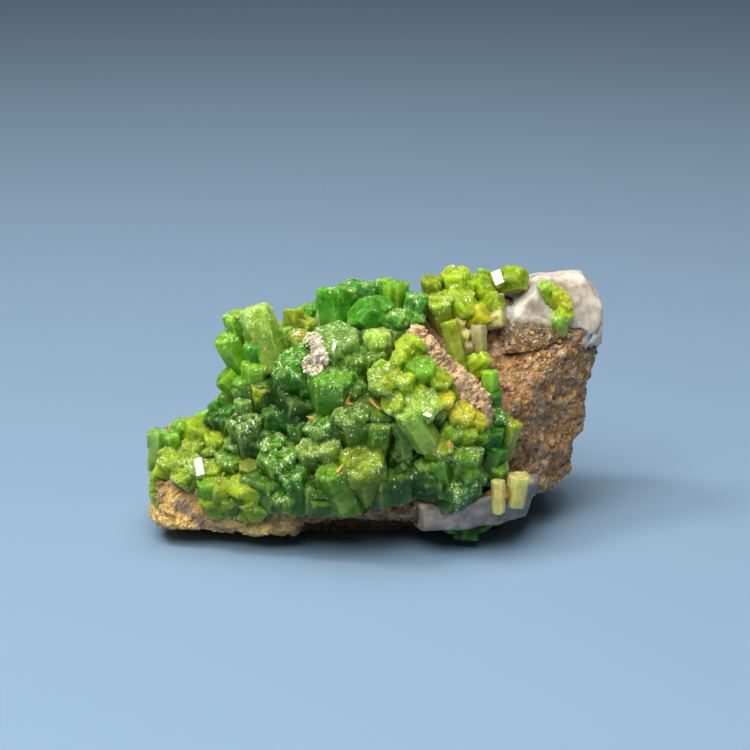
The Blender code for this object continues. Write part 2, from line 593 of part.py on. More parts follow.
def build():
    clear_scene()
    parts = bpy.data.collections.new(SPECIMEN_NAME)
    bpy.context.scene.collection.children.link(parts)

    brown = finish("iron_stained_quartz", (0.42, 0.25, 0.13), 0.85)
    milky = finish("milky_quartz", (0.66, 0.61, 0.58), 0.45)
    green = finish("green_pyromorphite", (0.12, 0.38, 0.05), 0.3)
    yellow = finish("yellow_green_pyromorphite", (0.42, 0.5, 0.04), 0.3)
    dark = finish("dark_pyromorphite", (0.03, 0.16, 0.05), 0.3)
    olive = finish("olive_pyromorphite", (0.36, 0.38, 0.08), 0.35)

    rock = matrix_rock(parts)
    rock.data.materials.append(brown)
    for name, faces in (("milky_quartz_cap", CAP_FACES), ("milky_quartz_base", BASE_QUARTZ_FACES)):
        lump = quartz_lump(name, faces, parts)
        boolean(lump, [grown_copy(rock, parts)], "DIFFERENCE")
        lump.data.materials.append(milky)

    main_rows = (BED + SPRAY + BARRELS + RIDGE_BLOCKS + FRONT_CLUSTER + LOWER_RIGHT + LOWER_FRONT
                 + LEFT_CRUST + FOOT_RIM + BACK_WRAP)
    clusters = (
        ("main_crust", main_rows, green),
        ("ridge_crystals", RIDGE, yellow),
        ("hollow_crystals", HOLLOW, olive),
        ("column_crystals", COLUMN, dark),
        ("base_crystals", BASE_GROUP, olive),
        ("cap_crystals", CAP_RING, yellow),
        ("underside_crystals", UNDERSIDE, dark),
        ("back_crystals", BACK_GROUP, green),
    )
    earlier = ()
    for name, rows, material in clusters:
        cluster = crystal_cluster(name, rows, parts)
        clear_of(cluster, rows, rock, earlier, parts)
        cluster.data.materials.clear()
        cluster.data.materials.append(material)
        earlier += rows


build()
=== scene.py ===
# Pyromorphite specimen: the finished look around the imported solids.
# Metres, +Z up. The crystals face the viewer at -Y, and it stands on z = 0. Sizes in the pieces'
# dictionaries are millimetres, and angles are degrees.
import math

import bmesh
import bpy
import numpy as np
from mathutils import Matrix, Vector


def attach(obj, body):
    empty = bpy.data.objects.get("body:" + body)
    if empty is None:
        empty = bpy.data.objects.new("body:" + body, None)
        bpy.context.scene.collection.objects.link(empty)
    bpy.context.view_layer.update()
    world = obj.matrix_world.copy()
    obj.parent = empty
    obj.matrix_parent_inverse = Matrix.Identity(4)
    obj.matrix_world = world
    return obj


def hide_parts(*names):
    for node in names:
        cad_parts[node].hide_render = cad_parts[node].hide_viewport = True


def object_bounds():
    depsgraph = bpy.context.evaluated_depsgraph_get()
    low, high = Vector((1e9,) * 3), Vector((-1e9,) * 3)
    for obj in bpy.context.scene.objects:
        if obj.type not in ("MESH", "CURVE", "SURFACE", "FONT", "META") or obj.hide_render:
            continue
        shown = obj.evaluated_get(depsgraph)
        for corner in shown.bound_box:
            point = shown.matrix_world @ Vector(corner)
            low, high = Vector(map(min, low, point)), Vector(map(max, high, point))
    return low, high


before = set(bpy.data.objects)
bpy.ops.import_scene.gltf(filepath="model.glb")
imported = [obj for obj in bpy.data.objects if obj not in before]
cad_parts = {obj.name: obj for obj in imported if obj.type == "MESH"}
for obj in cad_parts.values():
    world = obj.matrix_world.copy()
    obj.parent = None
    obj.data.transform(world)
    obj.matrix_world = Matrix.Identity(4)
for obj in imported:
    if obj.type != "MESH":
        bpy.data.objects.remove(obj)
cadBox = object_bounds()
mm = 0.001
rng = np.random.default_rng(41)
print("frame loaded")


# The photo's sight lines. Rows below give a crystal's place as it is seen: millimetres across and
# up in an upright plane facing the viewer, and the depth behind the middle of the specimen.
view = {"fall": math.radians(17), "distance": 260 * mm, "centre": (0.35 * mm, 18.7 * mm),
        "stance": np.array([-0.45, -0.25, -1.5]) * mm, "pixel": 0.1156 * mm, "frame": 750}
sideways = np.array([1.0, 0.0, 0.0])
viewUp = np.array([0.0, math.sin(view["fall"]), math.cos(view["fall"])])
toViewer = np.array([0.0, -math.cos(view["fall"]), math.sin(view["fall"])])
viewMiddle = sideways * view["centre"][0] + viewUp * view["centre"][1]
eye = viewMiddle + toViewer * view["distance"]


def seenPoints(across, rise, depth):
    # where the sight lines through (across, rise) reach the given depth
    shown = across[:, None] * sideways + rise[:, None] * viewUp
    fraction = (depth - eye[1]) / (shown[:, 1] - eye[1])
    return view["stance"] + eye + (shown - eye) * fraction[:, None]


def unit(vectors):
    return vectors / np.maximum(np.linalg.norm(vectors, axis=-1, keepdims=True), 1e-12)


def squareTo(axes):
    # two directions square to each axis: up is as near to the world's up as it can be
    nudge = 1e-6  # so that an upright axis has them too
    rise = np.tile([0.0, 0.0, 1.0], (len(axes), 1)) + nudge
    ups = unit(rise - (rise * axes).sum(1)[:, None] * axes)
    return np.cross(ups, axes), ups


def turned(sides, ups, angle):
    # both directions turned about the axis that they are square to
    c, s = np.cos(angle)[:, None], np.sin(angle)[:, None]
    return c * sides + s * ups, c * ups - s * sides


def waves(points, size, seed, count=9):
    # smooth field from about -1 to 1: a sum of sines, each about size long, whose directions,
    # lengths and phases (from 0 to about a full turn) are random
    dice = np.random.default_rng(seed)
    ways = unit(dice.normal(size=(count, 3))) * (2 * math.pi / size) * dice.uniform(0.6, 1.5, (count, 1))
    return np.sin(points @ ways.T + dice.uniform(0, 6.3, count)).sum(-1) / math.sqrt(count * 1.6)


# Large odd numbers that mix bits well, so that neighbouring cells get unlike results, and the
# largest result
mixing = {"cell": (73856093, 19349663, 83492791), "seed": 2654435, "stir": 1274126177, "largest": 0xFFFFFF}


def scramble(cells, seed):
    # a fixed random number from 0 to 1 for each whole-number cell
    across, along, up = mixing["cell"]
    mix = cells[..., 0] * across ^ cells[..., 1] * along ^ cells[..., 2] * up ^ seed * mixing["seed"]
    mix = (mix ^ (mix >> 13)) * mixing["stir"]
    mix = (mix ^ (mix >> 16)) & mixing["largest"]
    return mix / float(mixing["largest"])


def grainCells(points, size, seed):
    # nearest jittered grain centre: distance in grain sizes, the way to it, and its random numbers
    home = np.floor(points / size).astype(np.int64)
    best = np.full(len(points), 9.0)
    offset = np.zeros((len(points), 3))
    owner = np.zeros((len(points), 3), dtype=np.int64)
    for dx in (-1, 0, 1):
        for dy in (-1, 0, 1):
            for dz in (-1, 0, 1):
                cell = home + np.array([dx, dy, dz])
                centre = cell + np.stack([scramble(cell, seed + k) for k in range(3)], -1)
                away = points / size - centre
                far = np.linalg.norm(away, axis=-1)
                closer = far < best
                best[closer], offset[closer], owner[closer] = far[closer], away[closer], cell[closer]
    return best, offset, np.stack([scramble(owner, seed + 9 + k) for k in range(3)], -1)


# Colours as the photo shows them, in display values
tones = {"lime": (145, 167, 14), "yellow": (172, 166, 10), "leaf": (100, 152, 16), "grass": (78, 138, 18),
         "emerald": (50, 122, 14), "deep": (26, 96, 12), "teal": (42, 116, 40), "olive": (124, 136, 20),
         "pale": (142, 174, 64), "grey": (102, 144, 56), "cream": (194, 180, 112), "beige": (160, 142, 104),
         "amber": (176, 120, 6), "moss": (84, 128, 18), "gold": (200, 190, 24), "fern": (124, 150, 18)}


def linear(colour):
    values = np.asarray(colour, dtype=float) / 255
    return np.where(values <= 0.04045, values / 12.92, ((values + 0.055) / 1.055) ** 2.4)


def keepInBox(points):
    low, high = np.array(cadBox[0]), np.array(cadBox[1])
    return np.clip(points, low, high)


def fillMesh(mesh, points, faces):
    # faces is a list of whole-number arrays, one array for each number of corners
    corners = np.concatenate([f.ravel() for f in faces])
    sizes = np.concatenate([np.full(len(f), f.shape[1]) for f in faces])
    starts = np.concatenate([[0], np.cumsum(sizes)[:-1]])
    mesh.vertices.add(len(points))
    mesh.vertices.foreach_set("co", points.ravel())
    mesh.loops.add(len(corners))
    mesh.loops.foreach_set("vertex_index", corners)
    mesh.polygons.add(len(sizes))
    mesh.polygons.foreach_set("loop_start", starts)
    mesh.update(calc_edges=True)
    return int((sizes - 2).sum())


triangleCounts = []


def buildMesh(name, points, faces, slotName, nodes, layers, material):
    mesh = bpy.data.meshes.new(name)
    triangles = fillMesh(mesh, keepInBox(points), faces)
    mesh.polygons.foreach_set("use_smooth", np.zeros(len(mesh.polygons), dtype=bool))
    dress(mesh, layers)
    mesh.materials.append(material)
    piece = bpy.data.objects.new(name, mesh)
    bpy.context.scene.collection.objects.link(piece)
    settle(piece, slotName, nodes)
    triangleCounts.append(triangles)
    print(f"{name}: {triangles} triangles")
    return piece


def remeshed(body, voxel, ratio=1.0):
    # A fresh mesh: the object's shape as one skin of even faces. With a ratio below one, flat
    # places are thinned out and the edges stay.
    remesh = body.modifiers.new("skin", "REMESH")
    remesh.mode, remesh.voxel_size = "VOXEL", voxel * mm
    if ratio < 1:
        body.modifiers.new("thin", "DECIMATE").ratio = ratio
    bpy.context.view_layer.update()
    evaluated = body.evaluated_get(bpy.context.evaluated_depsgraph_get())
    mesh = bpy.data.meshes.new_from_object(evaluated)
    body.modifiers.clear()
    return mesh


def meshArrays(mesh):
    count = len(mesh.vertices)
    points, normals = np.empty(count * 3), np.empty(count * 3)
    mesh.vertices.foreach_get("co", points)
    mesh.vertex_normals.foreach_get("vector", normals)
    return points.reshape(-1, 3), normals.reshape(-1, 3)


def meshFaces(mesh):
    # the faces as whole-number arrays, one for each number of corners
    sizes = np.empty(len(mesh.polygons), dtype=np.int64)
    mesh.polygons.foreach_get("loop_total", sizes)
    corners = np.empty(len(mesh.loops), dtype=np.int64)
    mesh.loops.foreach_get("vertex_index", corners)
    starts = np.concatenate([[0], np.cumsum(sizes)[:-1]])
    return [corners[starts[sizes == n][:, None] + np.arange(n)] for n in np.unique(sizes)]


def neighbourMean(mesh):
    # gives a function that spreads a value of each point over its neighbours, some rounds long
    ends = np.empty(len(mesh.edges) * 2, dtype=np.int64)
    mesh.edges.foreach_get("vertices", ends)
    first, second = ends.reshape(-1, 2).T
    many = len(mesh.vertices)
    near = np.maximum(np.bincount(first, minlength=many) + np.bincount(second, minlength=many), 1)

    def averaged(values):
        return (np.bincount(first, values[second], many) + np.bincount(second, values[first], many)) / near

    def spread(values, rounds):
        columns = list(values.T) if values.ndim == 2 else [values]
        for _ in range(rounds):
            columns = [averaged(column) for column in columns]
        return np.stack(columns, -1) if values.ndim == 2 else columns[0]
    return spread


def bends(points, normals, spread, reach):
    # how far each point stands above (edges, positive) or below (creases, negative) its
    # neighbours along the normal
    return spread(((points - spread(points, reach)) * normals).sum(1), 1)


def surfaceSamples(mesh, count):
    # points spread evenly over the skin's area, and the way out at each
    mesh.calc_loop_triangles()
    corners = np.empty(len(mesh.loop_triangles) * 3, dtype=np.int64)
    mesh.loop_triangles.foreach_get("vertices", corners)
    points, _ = meshArrays(mesh)
    a, b, c = points[corners.reshape(-1, 3)].transpose(1, 0, 2)
    cross = np.cross(b - a, c - a)
    area = np.linalg.norm(cross, axis=1)
    chosen = rng.choice(len(area), count, p=area / area.sum())
    u, v = rng.uniform(0, 1, (2, count))
    flip = u + v > 1
    u[flip], v[flip] = 1 - u[flip], 1 - v[flip]
    places = a[chosen] + u[:, None] * (b - a)[chosen] + v[:, None] * (c - a)[chosen]
    return places, unit(cross[chosen])


def share(values, low, high):
    # 0 below low, 1 above high, eased between
    blend = np.clip((values - low) / (high - low), 0, 1)
    return blend * blend * (3 - 2 * blend)


def blended(first, second, amount):
    # colours of points: the first where the amount is 0, the second where it is 1
    return first * (1 - amount[:, None]) + second * amount[:, None]


def dress(mesh, layers):
    # a colour layer has three numbers for each point, a plain layer has one, "grown" is a vector
    for label, values in layers.items():
        if label == "grown":
            layer = mesh.attributes.new(label, "FLOAT_VECTOR", "POINT")
            layer.data.foreach_set("vector", values.ravel())
        elif values.ndim == 2:
            layer = mesh.color_attributes.new(label, "FLOAT_COLOR", "POINT")
            full = np.concatenate([values, np.ones((len(values), 1))], 1)
            layer.data.foreach_set("color", full.ravel())
        else:
            layer = mesh.attributes.new(label, "FLOAT", "POINT")
            layer.data.foreach_set("value", values)


def settle(piece, slotName, nodes):
    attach(piece, "root")
    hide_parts(*nodes)


def hexagonAt(angle):
    # how far a hexagon's outline lies from its middle, with its corners at 1
    inSector = np.mod(angle - math.pi / 2, math.pi / 3) - math.pi / 6
    return math.cos(math.pi / 6) / np.cos(inSector)


def prismPatch(tips, sides, ups, axes, widths, lengths, form):
    # A crystal is a closed surface of two parameters, the angle round its axis and the station
    # along it: half width x hexagon(angle) x profile(station), carried along a straight axis.
    # form["stations"] holds (share of the length behind the tip, share of the width behind the
    # tip, share of the radius).
    count, around = len(tips), form["around"]
    angle = np.arange(around) * 2 * math.pi / around + math.pi / 2
    stations = np.array(form["stations"])
    back = stations[:, 0] * lengths[:, None] + stations[:, 1] * widths[:, None]
    radius = stations[:, 2] * widths[:, None] / 2
    spin = np.cos(angle)[:, None] * sides[:, None, :] + np.sin(angle)[:, None] * ups[:, None, :]
    spin = spin * hexagonAt(angle)[:, None]
    rings = (tips[:, None, None] - back[..., None, None] * axes[:, None, None]
             + radius[..., None, None] * spin[:, None])
    root = (tips - lengths[:, None] * axes)[:, None]
    crown = (tips - (form["crown"] * widths)[:, None] * axes)[:, None]
    return np.concatenate([rings.reshape(count, -1, 3), root, crown], 1)


def joinPatches(patches):
    # The points of all patches in one list, with their faces: the rows of points of a crystal
    # are joined by quads, and a fan of triangles closes each end.
    quads, fans = [], []
    start = 0
    for patch, form in patches:
        count, each = patch.shape[:2]
        around = form["around"]
        root, crown = each - 2, each - 1
        last = root - around
        a = np.arange(around)
        b = (a + 1) % around
        side = np.concatenate([np.stack([low + a, low + b, low + around + b, low + around + a], -1)
                               for low in range(0, last, around)])
        ends = np.concatenate([np.stack([b, a, np.full(around, root)], -1),
                               np.stack([last + a, last + b, np.full(around, crown)], -1)])
        step = start + np.arange(count)[:, None, None] * each
        quads.append((side + step).reshape(-1, 4))
        fans.append((ends + step).reshape(-1, 3))
        start += count * each
    points = np.concatenate([patch.reshape(-1, 3) for patch, form in patches])
    return points, np.concatenate(quads), np.concatenate(fans)


# Forms of a crystal: stations run from the root to the end
barrelForm = {"around": 24, "crown": -0.01, "stations": [
    (1.0, -0.15, 0.90), (0.78, 0, 1.00), (0.6, 0, 1.05), (0.42, 0, 1.07), (0.25, 0, 1.06),
    (0.1, 0.12, 1.03), (0, 0.12, 1.00), (0, 0.04, 0.93), (0, 0.01, 0.82), (0, 0.0, 0.5)]}
prismForm = {"around": 24, "crown": 0.0, "stations": [
    (1.0, -0.15, 0.93), (0.75, 0, 0.97), (0.5, 0, 0.99), (0.25, 0, 1.0),
    (0.08, 0.07, 1.01), (0, 0.06, 1.00), (0, 0.015, 0.93), (0, 0.0, 0.85), (0, 0.0, 0.5)]}
sproutForm = {"around": 6, "crown": -0.03, "stations": [
    (0.9, 0, 0.95), (0, 0.22, 1.0), (0, 0.08, 0.90), (0, 0.0, 0.66)]}


def crystalTable(rows, wander):
    # the rows as arrays: tips, directions, sizes, tones and frost. Each axis wanders a little.
    numbers = np.array([row[:8] for row in rows], dtype=float)
    lean, toward, turn = np.radians(numbers[:, 3]), np.radians(numbers[:, 4]), np.radians(numbers[:, 7])
    upright = np.sin(lean)[:, None] * sideways + np.cos(lean)[:, None] * viewUp
    axes = upright * np.cos(toward)[:, None] + toViewer * np.sin(toward)[:, None]
    axes = unit(axes + rng.normal(0, wander, axes.shape))
    sides, ups = turned(*squareTo(axes), turn)
    return {"tips": seenPoints(numbers[:, 0] * mm, numbers[:, 1] * mm, numbers[:, 2] * mm), "axes": axes,
            "sides": sides, "ups": ups, "widths": numbers[:, 5] * mm, "lengths": numbers[:, 6] * mm,
            "tones": np.array([linear(tones[row[8]]) for row in rows]),
            "frost": np.array([row[9] for row in rows], dtype=float)}


def picked(table, chosen):
    return {key: values[chosen] for key, values in table.items()}


# How sprouts stand on a crystal, as shares of its width. Those beyond the rim stand lower, and some
# of those beyond lowRim are steps down the side.
sprouting = {"rim": 0.80, "slope": 0.55, "stagger": 0.04, "lowRim": 0.74, "lowChance": 0.5, "drop": (0.1, 0.5),
             "flare": 0.10, "inset": 0.25, "length": 1.2, "leastLength": 0.45, "turn": 0.5}


def growSprouts(table, each, habit):
    # smaller prisms, nearly parallel to a crystal, that rise through its end and its upper sides
    owner = np.repeat(np.arange(len(table["tips"])), each)
    many = len(owner)
    width = table["widths"][owner]
    around = rng.uniform(0, 2 * math.pi, many)
    reach = np.sqrt(rng.uniform(0, 1, many)) * habit["spread"] * hexagonAt(around)
    across = (np.cos(around)[:, None] * table["sides"][owner] + np.sin(around)[:, None] * table["ups"][owner])
    own = width * rng.uniform(*habit["sizes"], many)
    slope = np.maximum(reach - sprouting["rim"], 0) * sprouting["slope"]
    lift = (rng.uniform(-sprouting["stagger"], sprouting["stagger"], many) - slope) * width
    low = (reach > sprouting["lowRim"]) & (rng.uniform(0, 1, many) < sprouting["lowChance"])
    step = np.where(low, rng.uniform(*sprouting["drop"], many) * width, 0)
    axes = unit(table["axes"][owner] + across * reach[:, None] * sprouting["flare"]
                + rng.normal(0, habit["stray"], (many, 3)))
    tips = (table["tips"][owner] + across * (reach * width / 2 - sprouting["inset"] * own)[:, None].clip(0)
            + table["axes"][owner] * (lift - step)[:, None])
    sides, ups = turned(*squareTo(axes), rng.uniform(0, sprouting["turn"], many))
    lengths = np.maximum(own * sprouting["length"], sprouting["leastLength"] * width)
    return prismPatch(tips, sides, ups, axes, own, lengths, sproutForm), sproutForm


def joinedSkin(patches, voxel, ratio):
    # overlapping closed prisms, joined in one closed skin of small even faces
    points, quads, fans = joinPatches(patches)
    mesh = bpy.data.meshes.new("growth")
    fillMesh(mesh, points, [quads, fans])
    body = bpy.data.objects.new("growth", mesh)
    bpy.context.scene.collection.objects.link(body)
    skin = remeshed(body, voxel, ratio)
    bpy.data.objects.remove(body, do_unlink=True)
    return skin


def crystalOwners(points, table):
    # Which crystal each point of the skin belongs to, the one whose prism it is the least outside,
    # and how far behind its end the point lies. Outside = the largest of (distance from the axis
    # across the nearest side face - half the crystal's span between faces), (height above its end)
    # and (depth below its root).
    best = np.full(len(points), 1.0)
    owner = np.zeros(len(points), dtype=np.int64)
    above = np.zeros(len(points))
    faces = np.arange(3) * math.pi / 3
    for k in range(len(table["tips"])):
        away = points - table["tips"][k]
        along = away @ table["axes"][k]
        across = np.stack([away @ table["sides"][k], away @ table["ups"][k]], -1)
        span = np.abs(across @ np.stack([np.cos(faces), np.sin(faces)])).max(1)
        outside = np.maximum(span - table["widths"][k] / 2 * math.cos(math.pi / 6),
                             np.maximum(along, -along - table["lengths"][k]))
        closer = outside < best
        best[closer], owner[closer], above[closer] = outside[closer], k, along[closer]
    return owner, -above


def ownPlaces(points, owner, table):
    # each point in its crystal's own directions: two across and one along
    away = points - table["tips"][owner]
    return np.stack([(away * table[key][owner]).sum(1) for key in ("sides", "ups", "axes")], -1)


def facetedSkin(points, normals, frost, facets):
    # height = each small grain's own flat tilt, strongest on frosted places
    height = np.zeros(len(points))
    for size, tilt, seed in facets:
        _, offset, dice = grainCells(points, size * mm, seed)
        slant = tilt * (offset * (dice - 0.5) * 2).sum(1)
        height += mm * slant * (0.3 + 0.7 * np.clip(frost, 0, 1))
    return points + normals * height[:, None]


def frostAt(behind, owner, table):
    # frost lies on the end and thins out down the sides, the further down the thicker it is
    depth = behind / (table["widths"][owner] * (0.25 + 0.6 * table["frost"][owner]))
    return np.minimum(table["frost"][owner], 1.1) * share(-depth, -1.0, 0.0)


def drawnUp(points, lowest, pull=0.6):
    # what hangs below the given height in the view is drawn up by the pull's share of its drop
    drop = np.maximum(lowest * mm - (points - view["stance"]) @ viewUp, 0)
    return points + pull * drop[:, None] * viewUp


def crystalPiece(name, settings, material):
    table = crystalTable(settings["rows"], settings["wander"])
    wide = table["widths"] >= settings["barrelWidth"] * mm
    patches = []
    for chosen, form in ((wide, barrelForm), (~wide, prismForm)):
        if chosen.any():
            some = picked(table, chosen)
            patches.append((prismPatch(some["tips"], some["sides"], some["ups"], some["axes"],
                                       some["widths"], some["lengths"], form), form))
    patches.append(growSprouts(table, settings["sprouts"], settings["sproutHabit"]))
    patches.append(growSprouts(table, settings["partners"], settings["partnerHabit"]))
    skin = joinedSkin(patches, settings["voxel"], settings["thin"])
    points, normals = meshArrays(skin)
    spread = neighbourMean(skin)
    bend = bends(points, normals, spread, settings["reach"]) / (settings["voxel"] * mm)
    owner, behind = crystalOwners(points, table)
    frost = spread(frostAt(behind, owner, table), settings["blend"])
    points = drawnUp(facetedSkin(points, normals, frost, settings["facets"]), settings["lowest"])
    faces = meshFaces(skin)
    bpy.data.meshes.remove(skin)
    # each crystal's tone differs at random, times its group's shade, which is partly painted shade
    shade = np.exp(rng.normal(0, settings["toneSpread"], len(wide)))[:, None] * settings["shade"]
    layers = {"tone": spread((table["tones"] * shade)[owner], settings["blend"]),
              "grown": ownPlaces(points, owner, table),
              "frost": frost, "bend": bend, "behind": behind / (settings["rootDepth"] * mm)}
    return buildMesh(name, points, faces, settings["slot"], settings["nodes"], layers, material)


# Shader helpers
def newMaterial(name):
    material = bpy.data.materials.new(name)
    material.use_nodes = True
    tree = material.node_tree
    return material, tree, tree.nodes["Principled BSDF"]


def plug(tree, socket, value):
    # into a socket goes another node's output, or a plain value
    if isinstance(value, bpy.types.NodeSocket):
        tree.links.new(value, socket)
    else:
        socket.default_value = value


def addNode(tree, kind, settings=None, **values):
    node = tree.nodes.new(kind)
    for key, value in (settings or {}).items():
        setattr(node, key, value)
    for label, value in values.items():
        plug(tree, node.inputs[label.replace("_", " ")], value)
    return node


def finishShader(tree, shader, values):
    for label, value in values.items():
        plug(tree, shader.inputs[label], value)


def pointLayer(tree, label, output="Fac"):
    return addNode(tree, "ShaderNodeAttribute", {"attribute_name": label}).outputs[output]


def mathNode(tree, operation, first, second, clamp=False):
    node = addNode(tree, "ShaderNodeMath", {"operation": operation, "use_clamp": clamp})
    plug(tree, node.inputs[0], first)
    plug(tree, node.inputs[1], second)
    return node.outputs[0]


def times(tree, first, second, clamp=False):
    return mathNode(tree, "MULTIPLY", first, second, clamp)


def ramped(tree, value, low, high, outLow=0.0, outHigh=1.0):
    return addNode(tree, "ShaderNodeMapRange", {"interpolation_type": "SMOOTHSTEP"}, Value=value, From_Min=low,
                   From_Max=high, To_Min=outLow, To_Max=outHigh).outputs[0]


def mixed(tree, amount, first, second, blend="MIX"):
    node = addNode(tree, "ShaderNodeMix", {"data_type": "RGBA", "blend_type": blend, "clamp_factor": True})
    plug(tree, node.inputs[0], amount)
    for socket, colour in ((node.inputs[6], first), (node.inputs[7], second)):
        plug(tree, socket, (*colour, 1) if isinstance(colour, (tuple, np.ndarray)) else colour)
    return node.outputs[2]


def tinted(tree, colour, tint):
    return mixed(tree, 1.0, colour, tint, "MULTIPLY")


def noise(tree, place, grain, detail=3.0, roughness=0.55):
    return addNode(tree, "ShaderNodeTexNoise", Vector=place, Scale=1 / (grain * mm), Detail=detail,
                   Roughness=roughness).outputs[0]


def cells(tree, place, grain):
    return addNode(tree, "ShaderNodeTexVoronoi", Vector=place, Scale=1 / (grain * mm)).outputs


def vectorNode(tree, operation, values):
    # values: (number of the input, what goes in) for each input that is used
    node = addNode(tree, "ShaderNodeVectorMath", {"operation": operation})
    for number, value in values:
        plug(tree, node.inputs[number], value)
    return node.outputs[0]


def tiltedNormal(tree, cellColour, strength):
    # every cell of a Voronoi pattern gets its own small tilt, so that it glints by itself
    normal = addNode(tree, "ShaderNodeNewGeometry").outputs["Normal"]
    centred = vectorNode(tree, "SUBTRACT", ((0, cellColour), (1, (0.5, 0.5, 0.5))))
    scaled = vectorNode(tree, "SCALE", ((0, centred), (3, strength)))
    tilted = vectorNode(tree, "ADD", ((0, normal), (1, scaled)))
    return vectorNode(tree, "NORMALIZE", ((0, tilted),))


def bumpedNormal(tree, place, normal, strength, height, detail):
    # fine bumps of the given height in millimetres
    return addNode(tree, "ShaderNodeBump", Strength=strength, Distance=height * mm, Normal=normal,
                   Height=noise(tree, place, 0.3, detail)).outputs[0]


def greyColour(tree, value):
    return addNode(tree, "ShaderNodeCombineColor", Red=value, Green=value, Blue=value).outputs[0]


def crystalColour(tree, place, along, settings):
    # the crystal's own tone in clouds and streaks and warmer in places, with painted shade darker towards its
    # root and deep in the creases, and painted light pale on the thin edges
    tone, bend = pointLayer(tree, "tone", "Color"), pointLayer(tree, "bend")
    clouds = ramped(tree, noise(tree, place, 1.5, 4.0), 0.32, 0.68, 0.78, 1.24)
    # painted shade: the colour darkens towards the crystal's root
    deep = ramped(tree, pointLayer(tree, "behind"), 0.0, 1.0, 1.06, settings["paintedRootShade"])
    streaks = ramped(tree, noise(tree, along, 0.3, 3.0, 0.7), 0.35, 0.65, 0.88, 1.12)
    mottle = ramped(tree, noise(tree, place, 0.4, 5.0, 0.75), 0.34, 0.66,
                    1 - settings["mottle"], 1 + settings["mottle"])
    shade = times(tree, times(tree, clouds, deep), times(tree, streaks, mottle))
    body = tinted(tree, tone, greyColour(tree, shade))
    warmth = ramped(tree, noise(tree, place, 2.4, 2.0), 0.5, 0.75, 0.0, 0.55)
    body = mixed(tree, warmth, body, tinted(tree, tone, settings["warmTint"]))
    # painted shade: creases are darkened to a deep green
    paintedCreaseShadow = ramped(tree, bend, *settings["paintedCreaseShadow"], settings["paintedCreaseShade"], 0.0)
    body = mixed(tree, paintedCreaseShadow, body, tinted(tree, body, settings["paintedCreaseShadeTint"]))
    # painted light: thin edges are paler, as if light shone through them
    edge = ramped(tree, bend, *settings["edge"], 0.0, settings["edgeGlow"])
    return mixed(tree, edge, body, mixed(tree, 0.5, tone, settings["edgeTint"]))


def frostedColour(tree, place, body, frosted, dice, settings):
    # a pale breath of frost, in it fine cells from darker to lighter, white cells of painted glint, and rusty
    # specks
    pale = mixed(tree, settings["frostWhite"], pointLayer(tree, "tone", "Color"), settings["frostTint"])
    colour = mixed(tree, times(tree, frosted, settings["frostShare"]), body, pale)
    flicker = ramped(tree, dice[1], 0.0, 1.0, 1 - settings["flicker"], 1 + settings["flicker"])
    flickering = tinted(tree, colour, greyColour(tree, flicker))
    colour = mixed(tree, ramped(tree, frosted, 0.0, 0.5), colour, flickering)
    iron = times(tree, ramped(tree, noise(tree, place, 1.3, 3.0, 0.7), 0.66, 0.70),
                 ramped(tree, noise(tree, place, 0.25, 2.0), 0.46, 0.56))
    colour = mixed(tree, times(tree, iron, settings["ironShare"]), colour, linear(settings["ironTone"]))
    # painted glints: white cells whose number is above a limit that falls as the frost thickens
    limit = ramped(tree, frosted, 0.05, 1.0, 1.0, settings["paintedGlintFrom"])
    paintedGlint = mathNode(tree, "GREATER_THAN", dice[0], limit)
    return mixed(tree, times(tree, paintedGlint, settings["paintedGlintShare"]), colour, settings["paintedGlintTint"])


def pyromorphite(name, settings):
    # resinous green crystal: clouded saturated sides, pale frosted ends of tiny facets that glint, among them
    # painted glints
    material, tree, shader = newMaterial(name)
    place = addNode(tree, "ShaderNodeTexCoord").outputs["Object"]
    along = addNode(tree, "ShaderNodeMapping", Vector=pointLayer(tree, "grown", "Vector"),
                    Scale=(1.0, 1.0, settings["stretch"])).outputs[0]
    fine, coarse = cells(tree, along, settings["facet"]), cells(tree, place, settings["facet"] * 3)
    dice = addNode(tree, "ShaderNodeSeparateColor", Color=fine["Color"]).outputs
    patches = ramped(tree, noise(tree, place, 0.9, 4.0, 0.65), 0.40, 0.64)
    frosted = times(tree, pointLayer(tree, "frost"), patches, True)
    body = crystalColour(tree, place, along, settings)
    gloss, tilt = settings["gloss"], settings["tilt"]
    tilted = tiltedNormal(tree, coarse["Color"], ramped(tree, frosted, 0.0, 0.6, tilt * 0.08, tilt * 0.35))
    # a clear coat gives the smooth sides their glassy light, the frosted ends hardly have it
    finishShader(tree, shader, {
        "Base Color": frostedColour(tree, place, body, frosted, dice, settings),
        "Roughness": ramped(tree, noise(tree, place, 0.5, 2.0), 0.35, 0.65, gloss * 0.75, gloss * 1.3),
        "Normal": bumpedNormal(tree, place, tilted, 0.25, 0.03, 3.0),
        "Coat Weight": ramped(tree, frosted, 0.0, 0.3, settings["coat"], 0.0), "Coat IOR": 1.5,
        "Coat Roughness": settings["glint"], "IOR": 1.6, "Specular IOR Level": settings["sheen"],
        "Subsurface Weight": 1.0, "Subsurface Radius": (0.8, 1.0, 0.7),
        "Subsurface Scale": settings["glow"] * mm})
    return material


